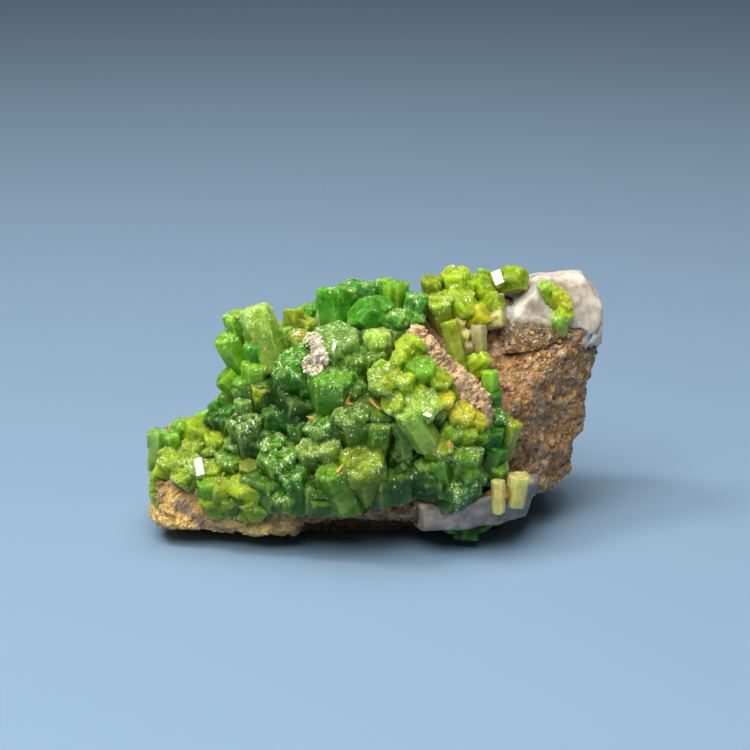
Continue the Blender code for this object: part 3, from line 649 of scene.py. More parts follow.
# the root, crease and edge values below set painted shade and painted light, the white-cell values set painted
# glints
pyromorphiteLook = {
    "facet": 0.15, "stretch": 0.45, "tilt": 1.0, "gloss": 0.38, "glint": 0.2, "coat": 0.15, "sheen": 0.18,
    "glow": 3.4, "paintedRootShade": 0.88, "mottle": 0.2, "warmTint": (1.25, 1.0, 0.6), "ironShare": 0.8,
    "ironTone": (200, 128, 50), "paintedCreaseShadow": (-0.6, 0.0), "paintedCreaseShade": 0.9, "paintedCreaseShadeTint": (0.35, 0.72, 0.30),
    "edge": (0.1, 0.7), "edgeGlow": 0.42, "edgeTint": (0.60, 0.80, 0.20), "frostWhite": 0.6,
    "frostShare": 0.72, "frostTint": (0.50, 0.68, 0.18), "flicker": 0.35, "paintedGlintFrom": 0.87, "paintedGlintShare": 0.8,
    "paintedGlintTint": (0.90, 0.97, 0.76)}
greenCrystal = pyromorphite("greenPyromorphite", pyromorphiteLook)
yellowCrystal = pyromorphite("yellowGreenPyromorphite", {**pyromorphiteLook, "paintedRootShade": 0.85})
darkCrystal = pyromorphite("darkPyromorphite", {**pyromorphiteLook, "frostShare": 0.3})
oliveCrystal = pyromorphite("olivePyromorphite", {**pyromorphiteLook, "gloss": 0.4, "paintedRootShade": 0.85})
brightCrystal = pyromorphite("mirrorBrightPyromorphite", {**pyromorphiteLook, "coat": 1.0, "glint": 0.06})


# How all the groups of crystals grow, where a group doesn't say otherwise: sizes in millimetres,
# sprouts and partners in shares of the crystal's width, facets as (size, tilt, seed).
# A group's shade darkens all its crystals: partly their own tone, partly painted shade, strongest on the lower
# groups and on the bed that fills the gaps.
growth = {"nodes": ["main_crust"], "slot": "green_pyromorphite", "barrelWidth": 9, "shade": 1.0,
          "toneSpread": 0.1, "lowest": -9, "voxel": 0.1, "thin": 0.4, "reach": 4, "blend": 9,
          "wander": 0.08, "rootDepth": 4,
          "sprouts": 11, "sproutHabit": {"sizes": (0.16, 0.42), "spread": 0.97, "stray": 0.08},
          "partners": 3, "partnerHabit": {"sizes": (0.4, 0.68), "spread": 1.15, "stray": 0.12},
          "facets": ((1.5, 0.24, 51), (0.7, 0.13, 52))}

# Crystals. Each row: across, rise and depth of its end in millimetres, lean to the right and
# towards the viewer in degrees, width and length in millimetres, turn in degrees, tone and frost.
spray = {"sprouts": 4, "partners": 2, "barrelWidth": 3.9, "rows": (
    (-13.7, 26.6, -3.9, -13, 8, 3.9, 8, 28, "pale", 1.7), (-16.0, 25.9, -2.6, -16, 14, 2.7, 7, 0, "leaf", 0.8),
    (-17.1, 23.2, -3.8, -26, 15, 3.2, 8, 20, "leaf", 0.8),
    (-13.4, 22.6, -5.2, 5, 25, 3.0, 5, 0, "emerald", 0.5),
    (-17.2, 18.8, -4.0, -50, 15, 3.2, 7, 10, "moss", 0.2),
    (-13.5, 20.2, -6.0, -10, 35, 3.2, 6, 30, "leaf", 0.4), (-12.9, 17.5, -7.0, 10, 40, 2.2, 5, 0, "lime", 0.6),
    (-14.9, 16.1, -6.5, -15, 30, 2.4, 5, 15, "grey", 0.6),
    (-15.0, 18.4, -5.6, -20, 30, 2.6, 5, 40, "grass", 0.6),
    (-18.5, 15.6, -3.5, -40, 10, 1.9, 5, 0, "deep", 0.5),
    (-16.9, 14.9, -5.0, -20, 25, 2.2, 5, 25, "deep", 0.5), (-9.1, 26.3, -1.8, 0, 5, 2.6, 7, 0, "olive", 0.3),
    (-7.6, 25.3, -2.0, 15, 15, 2.8, 6, 30, "olive", 0.7), (-10.5, 24.2, -3.6, -5, 10, 2.8, 7, 15, "moss", 0.6),
    (-8.2, 23.5, -4.6, 10, 35, 2.8, 6, 0, "olive", 0.9))}
barrels = {"shade": 0.76, "barrelWidth": 3.2, "rows": (
    (-9.9, 20.6, -7.6, -38, 24, 4.9, 5.4, 12, "emerald", 1.0),
    (-4.2, 23.4, -7.6, 5, 42, 5.9, 8, 0, "grey", 0.6), (-4.6, 19.2, -10.0, -5, 40, 5.4, 9, 25, "grass", 0.8),
    (-2.0, 21.4, -8.6, 15, 45, 3.7, 7, 10, "moss", 0.8), (-2.3, 18.1, -9.8, 10, 40, 3.7, 8, 0, "grass", 0.7),
    (-8.8, 15.6, -7.4, 0, 30, 3.5, 6, 20, "deep", 0.3), (0.6, 23.9, -6.6, 5, 25, 3.5, 8, 5, "pale", 1.8),
    (0.0, 21.4, -8.0, -5, 30, 3.3, 7, 35, "moss", 0.5), (-11.2, 15.3, -6.8, 5, 30, 3.7, 6, 15, "deep", 0.7))}
ridgeBlocks = {"sprouts": 5, "partners": 2, "rows": (
    (-4.6, 28.8, -0.8, 0, 0, 4.3, 9, 30, "emerald", 0.7),
    (-1.5, 26.3, -4.8, -46, 28, 4.4, 8, 0, "emerald", 0.3), (-1.0, 29.5, 0.2, 5, 8, 4.1, 8, 15, "teal", 0.9),
    (1.4, 29.8, 0.6, 0, 5, 2.3, 7, 0, "grass", 0.8), (-2.7, 28.9, -1.2, 10, 15, 2.7, 7, 25, "emerald", 0.7),
    (3.0, 29.5, -0.4, 0, 18, 2.8, 8, 30, "leaf", 0.3), (2.8, 25.9, -4.6, 5, 35, 3.1, 7, 10, "emerald", 1.1),
    (5.2, 28.1, -1.6, 10, 20, 2.9, 8, 20, "teal", 1.0), (1.0, 27.2, -3.6, 20, 35, 3.3, 7, 40, "emerald", 0.3),
    (4.9, 25.8, -3.6, 20, 30, 3.0, 6, 0, "emerald", 0.7))}
frontCluster = {"shade": 0.9, "rows": (
    (1.3, 18.7, -12.0, -25, 68, 4.0, 6, 10, "fern", 1.2), (3.8, 22.7, -9.8, -25, 38, 2.9, 6, 0, "lime", 0.4),
    (2.8, 20.9, -11.2, -50, 50, 2.1, 5, 20, "lime", 0.7), (5.7, 20.1, -11.2, 20, 50, 3.7, 6, 30, "leaf", 0.4),
    (3.7, 18.5, -12.8, -10, 45, 2.0, 5, 0, "lime", 0.9), (2.2, 15.7, -12.6, -60, 50, 3.1, 6, 15, "lime", 0.9),
    (4.0, 14.9, -13.1, -30, 30, 3.4, 6, 40, "pale", 0.9), (6.1, 15.8, -13.2, 20, 55, 4.1, 6, 5, "pale", 1.1),
    (8.3, 16.4, -11.8, 30, 45, 3.0, 6, 20, "gold", 0.6), (10.6, 14.7, -11.2, 35, 40, 3.3, 6, 0, "gold", 0.8),
    (12.0, 14.2, -10.6, 35, 38, 2.7, 5, 10, "yellow", 0.6),
    (12.7, 12.4, -10.2, 35, 38, 2.6, 5, 0, "leaf", 0.6), (11.3, 12.6, -11.2, 15, 45, 2.4, 5, 20, "lime", 0.9),
    (8.0, 18.6, -11.0, 30, 48, 3.1, 5, 10, "lime", 0.5), (2.5, 13.4, -11.5, -20, 25, 1.9, 4, 0, "grey", 0.5),
    (3.8, 12.3, -11.0, 10, 25, 2.3, 5, 25, "grey", 0.4), (4.9, 17.0, -12.6, -45, 60, 2.4, 5, 0, "lime", 0.9),
    (9.6, 12.6, -11.6, 40, 35, 2.8, 5, 15, "leaf", 0.8))}
lowerRight = {"shade": 0.74, "barrelWidth": 5.5, "rows": (
    (9.8, 7.6, -11.0, 5, 52, 6.1, 5, 0, "teal", 1.2), (7.5, 11.2, -12.3, -15, 50, 3.7, 6, 20, "lime", 1.0),
    (11.0, 10.4, -11.3, 8, 40, 4.3, 6, 10, "leaf", 0.8), (6.1, 8.7, -12.0, -25, 45, 2.6, 5, 0, "grass", 0.7),
    (6.2, 6.3, -10.6, -30, 50, 3.1, 4, 30, "deep", 0.6), (8.3, 4.6, -9.8, -160, 45, 3.2, 3.5, 0, "teal", 0.6),
    (11.0, 4.6, -9.6, 165, 45, 3.4, 3.5, 20, "teal", 0.6), (7.5, 9.1, -12.0, -5, 40, 2.7, 5, 15, "grass", 0.8),
    (12.2, 7.8, -9.8, 35, 40, 3.4, 6, 0, "teal", 0.6))}
lowerFront = {"shade": 0.6, "lowest": 3.4, "barrelWidth": 5.2, "rows": (
    (-2.5, 14.7, -11.8, -5, 45, 4.5, 7, 0, "moss", 1.0),
    (-6.2, 13.5, -10.8, -25, 40, 4.1, 7, 20, "grass", 1.0),
    (-8.8, 13.2, -9.0, -10, 30, 2.5, 5, 0, "deep", 0.4), (-5.4, 10.8, -12.0, -20, 45, 2.9, 5, 10, "pale", 1.1),
    (-7.4, 10.5, -11.5, -10, 50, 2.9, 6, 35, "pale", 1.0), (0.9, 13.4, -11.8, 10, 35, 3.3, 6, 15, "leaf", 0.9),
    (-1.2, 9.2, -13.2, -10, 50, 5.5, 7, 8, "lime", 0.7), (-4.7, 8.1, -12.7, -15, 40, 4.3, 7, 30, "leaf", 0.5),
    (-11.0, 9.8, -10.4, -10, 40, 4.7, 6, 0, "grass", 1.0),
    (-11.7, 11.4, -9.0, -15, 25, 3.5, 6, 20, "emerald", 0.9),
    (-9.3, 7.7, -11.3, -5, 35, 3.7, 6, 12, "emerald", 1.0),
    (-10.1, 5.6, -11.2, 0, 64, 4.4, 2.6, 0, "grass", 0.9),
    (-12.1, 6.0, -10.5, -30, 50, 3.1, 4, 25, "leaf", 0.7),
    (-5.9, 5.3, -12.0, 20, 64, 3.9, 2.8, 30, "leaf", 0.1),
    (-7.4, 3.6, -11.0, -160, 45, 2.8, 3, 0, "grass", 0.6),
    (-3.2, 4.8, -11.0, 160, 52, 3.9, 4, 15, "teal", 0.5), (-2.5, 1.9, -11.0, 168, 0, 2.5, 4, 0, "grey", 0.9),
    (2.2, 7.8, -11.0, 25, 48, 3.9, 5, 10, "grass", 0.6), (3.7, 10.3, -10.6, 15, 42, 3.9, 6, 0, "deep", 0.6),
    (-0.6, 5.4, -10.6, 30, 55, 3.6, 4, 30, "deep", 0.5), (-14.7, 13.9, -7.5, -5, 35, 4.1, 7, 10, "deep", 1.1))}
bed = {"shade": 0.36, "lowest": 3.4, "voxel": 0.15, "rows": (
    (-11.5, 13.0, -6.6, 0, 40, 8.2, 6, 0, "emerald", 0.4), (-7.5, 17.5, -7.0, 10, 40, 7.6, 7, 15, "deep", 0.3),
    (-3.0, 15.0, -8.9, -10, 45, 8.2, 6, 30, "deep", 0.3), (1.6, 16.2, -9.4, 15, 40, 7.6, 6, 10, "leaf", 0.4),
    (-13.6, 18.6, -4.4, -15, 25, 6.8, 8, 20, "grass", 0.4), (-7.8, 22.0, -3.4, 0, 25, 7.4, 8, 0, "moss", 0.4),
    (-1.5, 24.0, -4.0, 5, 30, 8.0, 8, 15, "emerald", 0.4),
    (3.4, 24.4, -4.0, 10, 20, 6.0, 8, 30, "emerald", 0.4),
    (-12.0, 8.0, -8.7, -5, 40, 7.4, 5, 10, "grass", 0.4),
    (-5.5, 7.6, -10.2, 0, 40, 7.8, 5, 25, "emerald", 0.4), (1.5, 8.6, -10.2, 5, 35, 7.4, 5, 0, "emerald", 0.4),
    (6.6, 9.2, -10.4, 0, 40, 6.4, 5, 15, "emerald", 0.4), (10.6, 8.0, -9.4, 10, 30, 5.6, 5, 0, "grass", 0.4),
    (6.6, 17.0, -10.8, 15, 55, 7.2, 4, 20, "lime", 0.5), (-17.8, 9.0, -6.9, 0, 45, 7.4, 5, 30, "moss", 0.5),
    (-22.2, 9.8, -5.6, -5, 45, 5.6, 5, 0, "leaf", 0.5), (-17.0, 13.0, -3.9, -20, 30, 6.0, 5, 15, "moss", 0.5),
    (-14.6, 5.6, -8.8, 0, 40, 5.4, 4, 0, "leaf", 0.5))}
leftCrust = {"shade": 0.76, "lowest": 2.6, "rows": (
    (-24.6, 12.3, -4.0, 0, 10, 2.5, 5, 30, "grey", 0.6), (-21.6, 13.4, -3.0, -15, 15, 3.1, 5, 0, "leaf", 0.4),
    (-19.8, 13.1, -4.5, 15, 28, 3.5, 6, 20, "lime", 0.2), (-23.4, 11.9, -4.4, -15, 25, 2.5, 5, 0, "leaf", 0.5),
    (-18.1, 10.2, -7.0, 60, 30, 1.4, 4, 0, "pale", 0.6), (-23.8, 9.3, -6.8, -30, 42, 2.8, 5, 10, "lime", 0.9),
    (-21.5, 9.4, -7.2, 5, 50, 2.9, 5, 35, "lime", 0.7), (-19.9, 8.1, -8.6, 25, 62, 2.8, 5, 0, "pale", 1.2),
    (-22.2, 7.5, -8.3, -30, 50, 2.8, 5, 20, "lime", 0.9), (-19.0, 6.7, -9.4, -15, 42, 3.0, 5, 0, "leaf", 0.3),
    (-17.3, 6.4, -9.8, 15, 48, 3.2, 5, 15, "lime", 0.5), (-19.0, 4.5, -9.6, -30, 45, 2.1, 4, 0, "lime", 0.4),
    (-15.0, 6.4, -10.2, -15, 52, 3.4, 5, 10, "lime", 0.4),
    (-13.4, 6.1, -10.2, 20, 35, 3.0, 5, 40, "lime", 0.4), (-12.7, 4.0, -10.2, 30, 55, 2.9, 3, 0, "leaf", 0.5),
    (-14.6, 4.3, -10.2, -20, 45, 2.5, 3, 30, "lime", 0.5), (-16.4, 4.6, -9.9, 5, 50, 2.4, 3, 0, "lime", 0.5),
    (-14.3, 8.4, -9.2, -5, 42, 2.3, 5, 0, "olive", 0.3), (-16.6, 9.5, -8.0, 0, 45, 3.4, 6, 15, "moss", 0.6),
    (-18.5, 8.3, -8.4, -20, 42, 2.6, 5, 0, "lime", 0.6), (-16.0, 11.2, -7.4, -25, 40, 2.8, 6, 25, "moss", 0.6),
    (-18.4, 14.4, -4.4, -25, 20, 2.8, 6, 0, "deep", 0.5), (-18.0, 12.0, -5.8, 10, 35, 3.3, 6, 10, "lime", 0.3),
    (-20.8, 11.0, -6.0, -15, 40, 2.7, 5, 30, "lime", 0.6), (-16.0, 14.0, -5.6, 15, 30, 3.0, 6, 0, "deep", 0.5),
    (-25.2, 7.8, -6.0, -75, 10, 1.8, 2.2, 0, "lime", 0.4),
    (-25.6, 6.8, -6.0, -95, 10, 1.5, 2.0, 0, "lime", 0.4),
    (-25.7, 5.7, -6.2, -100, 10, 1.5, 2.0, 20, "leaf", 0.4),
    (-25.5, 4.6, -6.4, -105, 10, 1.5, 2.0, 0, "lime", 0.4),
    (-25.0, 3.5, -6.6, -115, 10, 1.5, 2.0, 10, "leaf", 0.4))}
backWrap = {"voxel": 0.15, "rows": (
    (-8.6, 26.0, 3.0, -15, -25, 3.2, 7, 0, "grass", 0.5),
    (-4.6, 27.9, 3.6, 0, -30, 3.4, 7, 20, "emerald", 0.5), (-0.6, 28.9, 3.8, 10, -30, 3.0, 7, 0, "grass", 0.5),
    (-12.4, 24.4, 1.2, -25, -20, 3.4, 7, 15, "leaf", 0.5), (2.6, 29.0, 3.4, 10, -25, 2.8, 7, 30, "leaf", 0.5),
    (-11.0, 24.0, 4.4, -25, -45, 3.0, 6, 0, "grass", 0.5),
    (-7.0, 26.2, 5.8, 0, -50, 3.0, 6, 25, "emerald", 0.5),
    (-15.0, 20.8, 0.8, -45, -15, 3.2, 6, 0, "grass", 0.5),
    (-17.2, 16.6, -0.4, -45, -10, 3.0, 6, 20, "moss", 0.5),
    (-19.6, 14.2, -0.6, -20, -15, 2.8, 5, 0, "leaf", 0.5),
    (-22.4, 13.2, -0.8, -20, -15, 2.6, 5, 10, "lime", 0.5))}
rightRidge = {"shade": 0.85, "nodes": ["ridge_crystals"], "slot": "yellow_green_pyromorphite", "rows": (
    (6.8, 29.9, 0.4, -8, 30, 2.4, 6, 0, "olive", 0.2), (9.5, 30.7, 1.0, -5, 22, 3.6, 7, 10, "lime", 0.5),
    (11.6, 30.0, 1.4, 15, 25, 3.2, 7, 0, "lime", 0.5), (12.9, 30.9, 2.4, 5, 0, 1.4, 6, 20, "leaf", 0.5),
    (17.5, 29.9, 0.4, 80, 28, 2.9, 7, 15, "lime", 0.5), (15.0, 27.2, -1.4, 80, 22, 2.2, 6, 0, "lime", 0.4),
    (13.2, 26.0, -2.2, 62, 32, 2.8, 7, 30, "yellow", 0.4), (15.3, 25.4, -2.0, 75, 20, 2.3, 5, 0, "cream", 0.6),
    (7.8, 27.6, -1.6, -20, 42, 3.4, 6, 0, "lime", 0.9), (10.4, 28.3, -1.0, 10, 48, 3.3, 6, 20, "lime", 0.7),
    (13.4, 29.2, 0.6, 40, 35, 2.9, 6, 0, "lime", 0.4), (11.3, 27.0, -2.0, 35, 45, 3.2, 6, 10, "lime", 0.5))}
hollow = {"sprouts": 3, "partners": 1, "nodes": ["hollow_crystals"], "slot": "olive_pyromorphite", "rows": (
    (8.9, 24.9, -3.4, -16, 14, 2.1, 6, 0, "olive", 0.1), (10.3, 25.1, -2.6, 10, 40, 1.5, 4, 0, "cream", 0.5),
    (10.6, 23.8, -3.2, 5, 40, 1.6, 4, 30, "cream", 0.5), (12.3, 24.6, -2.6, 0, 10, 2.0, 5, 0, "beige", 0.5),
    (12.4, 20.6, -4.6, 55, 10, 2.0, 6, 0, "lime", 0.2), (13.3, 20.9, -4.6, 30, 20, 1.9, 4, 20, "lime", 0.4),
    (10.9, 22.4, -3.6, 0, 30, 1.6, 5, 0, "beige", 0.4))}
column = {"sprouts": 3, "partners": 1, "nodes": ["column_crystals"], "slot": "dark_pyromorphite", "rows": (
    (13.6, 19.2, -6.6, 0, 10, 2.1, 5, 0, "leaf", 0.3), (13.9, 17.0, -7.2, 15, 25, 2.7, 6, 20, "deep", 0.3),
    (14.9, 14.2, -8.4, 25, 42, 2.1, 5, 0, "emerald", 1.0), (13.9, 12.6, -9.0, 10, 35, 3.1, 6, 30, "deep", 0.3),
    (16.2, 13.4, -7.6, 25, 22, 2.5, 5, 0, "olive", 0.5), (14.6, 10.5, -9.0, 15, 28, 2.7, 5, 10, "deep", 0.4))}
baseGroup = {"sprouts": 3, "partners": 1, "nodes": ["base_crystals"], "slot": "olive_pyromorphite", "rows": (
    (14.8, 8.3, -9.6, 5, 45, 2.3, 5, 0, "moss", 0.3), (14.6, 6.6, -10.2, 5, 20, 1.6, 4, 20, "cream", 0.4),
    (15.4, 5.4, -10.0, 60, 30, 1.8, 4, 0, "amber", 0.2), (17.0, 7.2, -9.0, 8, 20, 2.7, 4, 10, "cream", 0.3),
    (18.2, 7.0, -8.2, 50, 12, 1.7, 4, 0, "cream", 0.5))}
capRing = {"nodes": ["cap_crystals"], "slot": "yellow_green_pyromorphite", "rows": (
    (19.8, 29.2, -0.4, -20, 45, 1.6, 3, 0, "pale", 0.6), (20.7, 29.1, -0.3, 0, 40, 1.6, 3, 20, "lime", 0.6),
    (21.5, 28.6, -0.5, 20, 45, 1.7, 3, 0, "lime", 0.5), (22.2, 28.0, -0.8, 20, 40, 1.8, 3, 10, "yellow", 0.5),
    (22.6, 27.2, -1.1, 30, 45, 1.7, 3, 0, "yellow", 0.5), (22.6, 26.2, -1.5, 30, 35, 2.2, 3, 30, "lime", 0.4),
    (21.6, 25.8, -1.7, -20, 40, 2.0, 3, 0, "pale", 0.6))}
underside = {"nodes": ["underside_crystals"], "slot": "dark_pyromorphite", "rows": (
    (10.9, -0.4, -7.6, 175, 0, 3.1, 5, 0, "deep", 0.2), (12.8, 0.6, -7.2, 160, 0, 2.5, 5, 20, "deep", 0.2),
    (9.0, 0.6, -7.4, 195, 0, 2.5, 5, 0, "emerald", 0.2))}
backGroup = {"nodes": ["back_crystals"], "voxel": 0.15, "rows": (
    (8.0, 20.6, 14.8, 10, -65, 3.4, 5, 0, "grass", 0.6), (5.4, 19.0, 15.2, -10, -70, 3.0, 5, 20, "leaf", 0.6),
    (9.8, 17.8, 15.4, 20, -70, 3.2, 5, 0, "emerald", 0.6), (7.2, 16.4, 15.6, 0, -75, 3.6, 5, 10, "grass", 0.6),
    (11.4, 19.8, 14.8, 30, -60, 2.6, 5, 0, "leaf", 0.6), (4.8, 16.0, 15.4, -30, -70, 2.6, 5, 30, "lime", 0.6))}

groups = (("upperLeftSpray", spray, greenCrystal), ("centralBarrels", barrels, greenCrystal),
          ("ridgeBlocks", ridgeBlocks, greenCrystal), ("frontCluster", frontCluster, greenCrystal),
          ("lowerRightCrystals", lowerRight, greenCrystal), ("lowerFrontCrystals", lowerFront, greenCrystal),
          ("crystalBed", bed, greenCrystal), ("leftCrust", leftCrust, greenCrystal),
          ("backRidgeCrystals", backWrap, greenCrystal), ("rightRidgeCrystals", rightRidge, yellowCrystal),
          ("hollowPrisms", hollow, oliveCrystal), ("darkColumn", column, darkCrystal),
          ("basePrisms", baseGroup, oliveCrystal), ("capRing", capRing, yellowCrystal),
          ("undersideCrystals", underside, darkCrystal), ("backCrystals", backGroup, greenCrystal))
crystals = [crystalPiece(name, {**growth, **settings}, material) for name, settings, material in groups]
print("crystals grown")


def struck(pieces, rows):
    # where the sight lines through (across, rise) meet the nearest of the pieces, the way out
    # there and the rows that met one
    bpy.context.view_layer.update()
    start = Vector(view["stance"] + eye)
    spots, ways, kept = [], [], []
    for row, aim in zip(rows, seenPoints(rows[:, 0] * mm, rows[:, 1] * mm, np.zeros(len(rows)))):
        found = [piece.ray_cast(start, (Vector(aim) - start).normalized()) for piece in pieces]
        near = min((hit for hit in found if hit[0]), key=lambda hit: (hit[1] - start).length, default=None)
        if near:
            spots.append(near[1])
            ways.append(near[2])
            kept.append(row)
    return np.array(spots), np.array(ways), np.array(kept)


def grainPatch(places, axes, sizes, squash=1.0):
    # Each grain is a squashed bipyramid of eight faces, one ring of four points and two poles. The
    # ring lies 0.35 to 0.6 of the grain's size from its axis, the poles 0.4 to 0.75 along it.
    many = len(places)
    sides, ups = turned(*squareTo(axes), rng.uniform(0, 3, many))
    angle = np.arange(4) * math.pi / 2
    radius = sizes[:, None] * rng.uniform(0.35, 0.6, (many, 4)) * squash
    ring = (places[:, None] + radius[..., None] * (np.cos(angle)[:, None] * sides[:, None]
                                                   + np.sin(angle)[:, None] * ups[:, None])
            + axes[:, None] * (sizes[:, None] * rng.uniform(-0.12, 0.12, (many, 4)))[..., None])
    tip = places + axes * (sizes * rng.uniform(0.4, 0.75, many))[:, None]
    root = places - axes * (sizes * rng.uniform(0.4, 0.75, many))[:, None]
    points = np.concatenate([ring, tip[:, None], root[:, None]], 1)
    a, b = np.arange(4), (np.arange(4) + 1) % 4
    faces = np.concatenate([np.stack([a, b, np.full(4, 4)], -1), np.stack([b, a, np.full(4, 5)], -1)])
    return points.reshape(-1, 3), (faces + np.arange(many)[:, None, None] * 6).reshape(-1, 3)


# Rock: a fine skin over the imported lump, with grains of quartz strewn over it
def fineSkin(node, name, voxel):
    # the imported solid's loose triangles are merged in a copy, then rebuilt as a fine even skin
    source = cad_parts[node].data
    merged = bmesh.new()
    merged.from_mesh(source)
    bmesh.ops.remove_doubles(merged, verts=merged.verts[:], dist=0.001 * mm)
    mesh = bpy.data.meshes.new(name)
    merged.to_mesh(mesh)
    merged.free()
    mesh.materials.clear()
    skin = bpy.data.objects.new(name, mesh)
    bpy.context.scene.collection.objects.link(skin)
    skin.data = remeshed(skin, voxel)
    return skin


def weathered(points, normals, settings):
    # height = low waves + rounded grains + each grain's own flat tilt, all as distances
    height = settings["swell"] * mm * waves(points, 5 * mm, 11)
    for size, amount, tilt, seed in settings["layers"]:
        far, offset, dice = grainCells(points, size * mm, seed)
        height += amount * mm * (0.45 - far)
        height += tilt * mm * (offset * (dice - 0.5) * 2).sum(1)
    low = points[:, 2] / (0.6 * mm)
    return points + normals * (height * np.clip(low, 0, 1))[:, None]


rockTones = {name: linear(colour) for name, colour in (
    ("brown", (158, 117, 72)), ("dark", (84, 58, 32)), ("honey", (236, 194, 112)), ("pink", (184, 150, 124)),
    ("lilac", (128, 110, 106)), ("tan", (228, 192, 146)), ("grey", (158, 142, 118)), ("rust", (184, 112, 44)),
    ("white", (214, 204, 186)))}

# Clouds of colour in the brown: tone, amount, size in millimetres, seed, and the waves' low and high
rockClouds = (("grey", 0.7, 3.2, 21, -0.2, 0.9), ("pink", 0.6, 1.4, 25, 0.0, 0.8),
              ("honey", 0.45, 1.6, 22, 0.3, 1.0), ("rust", 0.45, 2.4, 23, 0.7, 1.3),
              ("dark", 0.7, 0.9, 26, 0.2, 1.0))


def wallShare(points):
    # 1 on the thin standing wall, 0 elsewhere
    x, y, z = (points / mm).T
    return share(-y, 4.6, 6.0) * share(x, 2, 4) * share(-x, -14.5, -13.2)


def rockColour(points):
    # brown block, golden foot, pinkish wall, a painted shade darker low down near the floor, with clouds of
    # other tones. The places of the foot, wall, low part and top are in millimetres.
    x, y, z = (points / mm).T
    colour = np.tile(rockTones["brown"], (len(points), 1))
    for label, amount, size, seed, low, high in rockClouds:
        colour = blended(colour, rockTones[label], amount * share(waves(points, size * mm, seed), low, high))
    drift = 1.6 * waves(points, 4.0 * mm, 35)
    foot = share(drift - x, 9.0, 12.5) * share(drift - z, -8.5, -5.5)
    wall = wallShare(points) * share(z, 12, 14)
    fibres = waves(points * np.array([1.0, 1.0, 0.3]), 0.7 * mm, 27)
    # painted shade: the rock darkens towards the floor, except on the foot
    deep = share(-z, -5.0, -2.0) * (1 - foot)
    top = share(z, 22, 25) * share(x, 12, 15)
    for label, amount in (("honey", 0.92 * foot),
                          ("lilac", 0.8 * foot * share(waves(points, 3.0 * mm, 24), 0.45, 0.8)),
                          ("tan", 0.85 * wall),
                          ("pink", 0.7 * wall * share(waves(points, 1.5 * mm, 29), 0.0, 0.8)),
                          ("dark", 0.6 * wall * share(fibres, 0.35, 0.9)),
                          ("rust", 0.5 * wall * share(waves(points, 1.6 * mm, 28), 0.8, 1.1)),
                          ("dark", 0.7 * deep), ("grey", 0.5 * top)):
        colour = blended(colour, rockTones[label], amount)
    return colour


def finishSkin(skin, settings, colourOf, material):
    # weathers and colours a skin, and thickens and lifts the thin wall's upper part
    points, normals = meshArrays(skin.data)
    moved = weathered(points, normals, settings)
    upper = wallShare(moved) * share(moved[:, 2] / mm, 11, 16)
    moved += (settings["wallSwell"] * mm * upper)[:, None] * normals
    moved[:, 2] += settings["wallLift"] * mm * upper
    moved = keepInBox(moved)
    skin.data.vertices.foreach_set("co", moved.ravel())
    dress(skin.data, {"tone": colourOf(moved)})
    skin.data.polygons.foreach_set("use_smooth", np.full(len(skin.data.polygons), settings["smooth"]))
    skin.data.materials.clear()
    skin.data.materials.append(material)
    skin.data.update()
    settle(skin, settings["slot"], settings["nodes"])
    triangleCounts.append(len(skin.data.polygons) * 2)  # all quads
    print(f"{skin.name}: {triangleCounts[-1]} triangles")
    return skin


def grainPiece(name, skin, settings, colourOf, material):
    # grains of quartz strewn over the skin and partly sunk in it, where settings["where"] is high
    places, ways = surfaceSamples(skin.data, settings["count"])
    keep = (places[:, 2] > settings["lowest"] * mm) & (settings["where"](places) > 0.4)
    places, ways = places[keep], ways[keep]
    many = len(places)
    size = settings["size"] * mm * np.exp(rng.normal(0, settings["sizeSpread"], many))
    points, faces = grainPatch(places - ways * (settings["sunk"] * size)[:, None],
                               unit(ways * 0.3 + rng.normal(0, 1, (many, 3))), size)
    dice = rng.uniform(0, 1, many)
    colour = colourOf(places) * np.exp(rng.normal(0.05, settings["toneSpread"], many))[:, None]
    for label, low, high in settings["mix"]:
        chosen = (dice > low) & (dice <= high)
        colour[chosen] = blended(colour[chosen], rockTones[label], np.full(chosen.sum(), 0.7))
    layers = {"tone": np.repeat(colour, 6, 0)}
    return buildMesh(name, points, [faces], settings["slot"], settings["nodes"], layers, material)


def quartzMaterial(name, settings):
    # sugary quartz: the point colours, clouded and speckled, with grains that each catch the light
    material, tree, shader = newMaterial(name)
    place = addNode(tree, "ShaderNodeTexCoord").outputs["Object"]
    fine = cells(tree, place, settings["facet"])
    dice = addNode(tree, "ShaderNodeSeparateColor", Color=fine["Color"]).outputs
    shade = times(tree, ramped(tree, noise(tree, place, settings["cloud"]), 0.3, 0.7, 0.7, 1.25),
                  ramped(tree, dice[1], 0.0, 1.0, 1 - settings["speckle"], 1 + settings["speckle"]))
    colour = tinted(tree, pointLayer(tree, "tone", "Color"), greyColour(tree, shade))
    pit = ramped(tree, noise(tree, place, 0.5, 4.0, 0.7), 0.3, 0.42, settings["pit"], 0.0)
    roughness = settings["roughness"]
    tilted = tiltedNormal(tree, fine["Color"], settings["tilt"])
    finishShader(tree, shader, {
        "Base Color": mixed(tree, pit, colour, linear((60, 34, 18))),
        "Roughness": ramped(tree, dice[0], 0.3, 1.0, roughness, roughness * 0.45),
        "Normal": bumpedNormal(tree, place, tilted, 0.5, 0.08, 4.0), "IOR": 1.54,
        "Transmission Weight": settings["transmission"], "Subsurface Weight": settings["subsurface"],
        "Subsurface Radius": (1.0, 0.7, 0.5), "Subsurface Scale": settings["glow"] * mm})
    return material


def everywhere(points):
    return np.ones(len(points))


brownQuartz = quartzMaterial("ironStainedQuartz", {
    "facet": 0.2, "cloud": 0.8, "speckle": 0.22, "pit": 0.6, "roughness": 0.62, "tilt": 0.4,
    "transmission": 0.0, "subsurface": 0.5, "glow": 0.4})
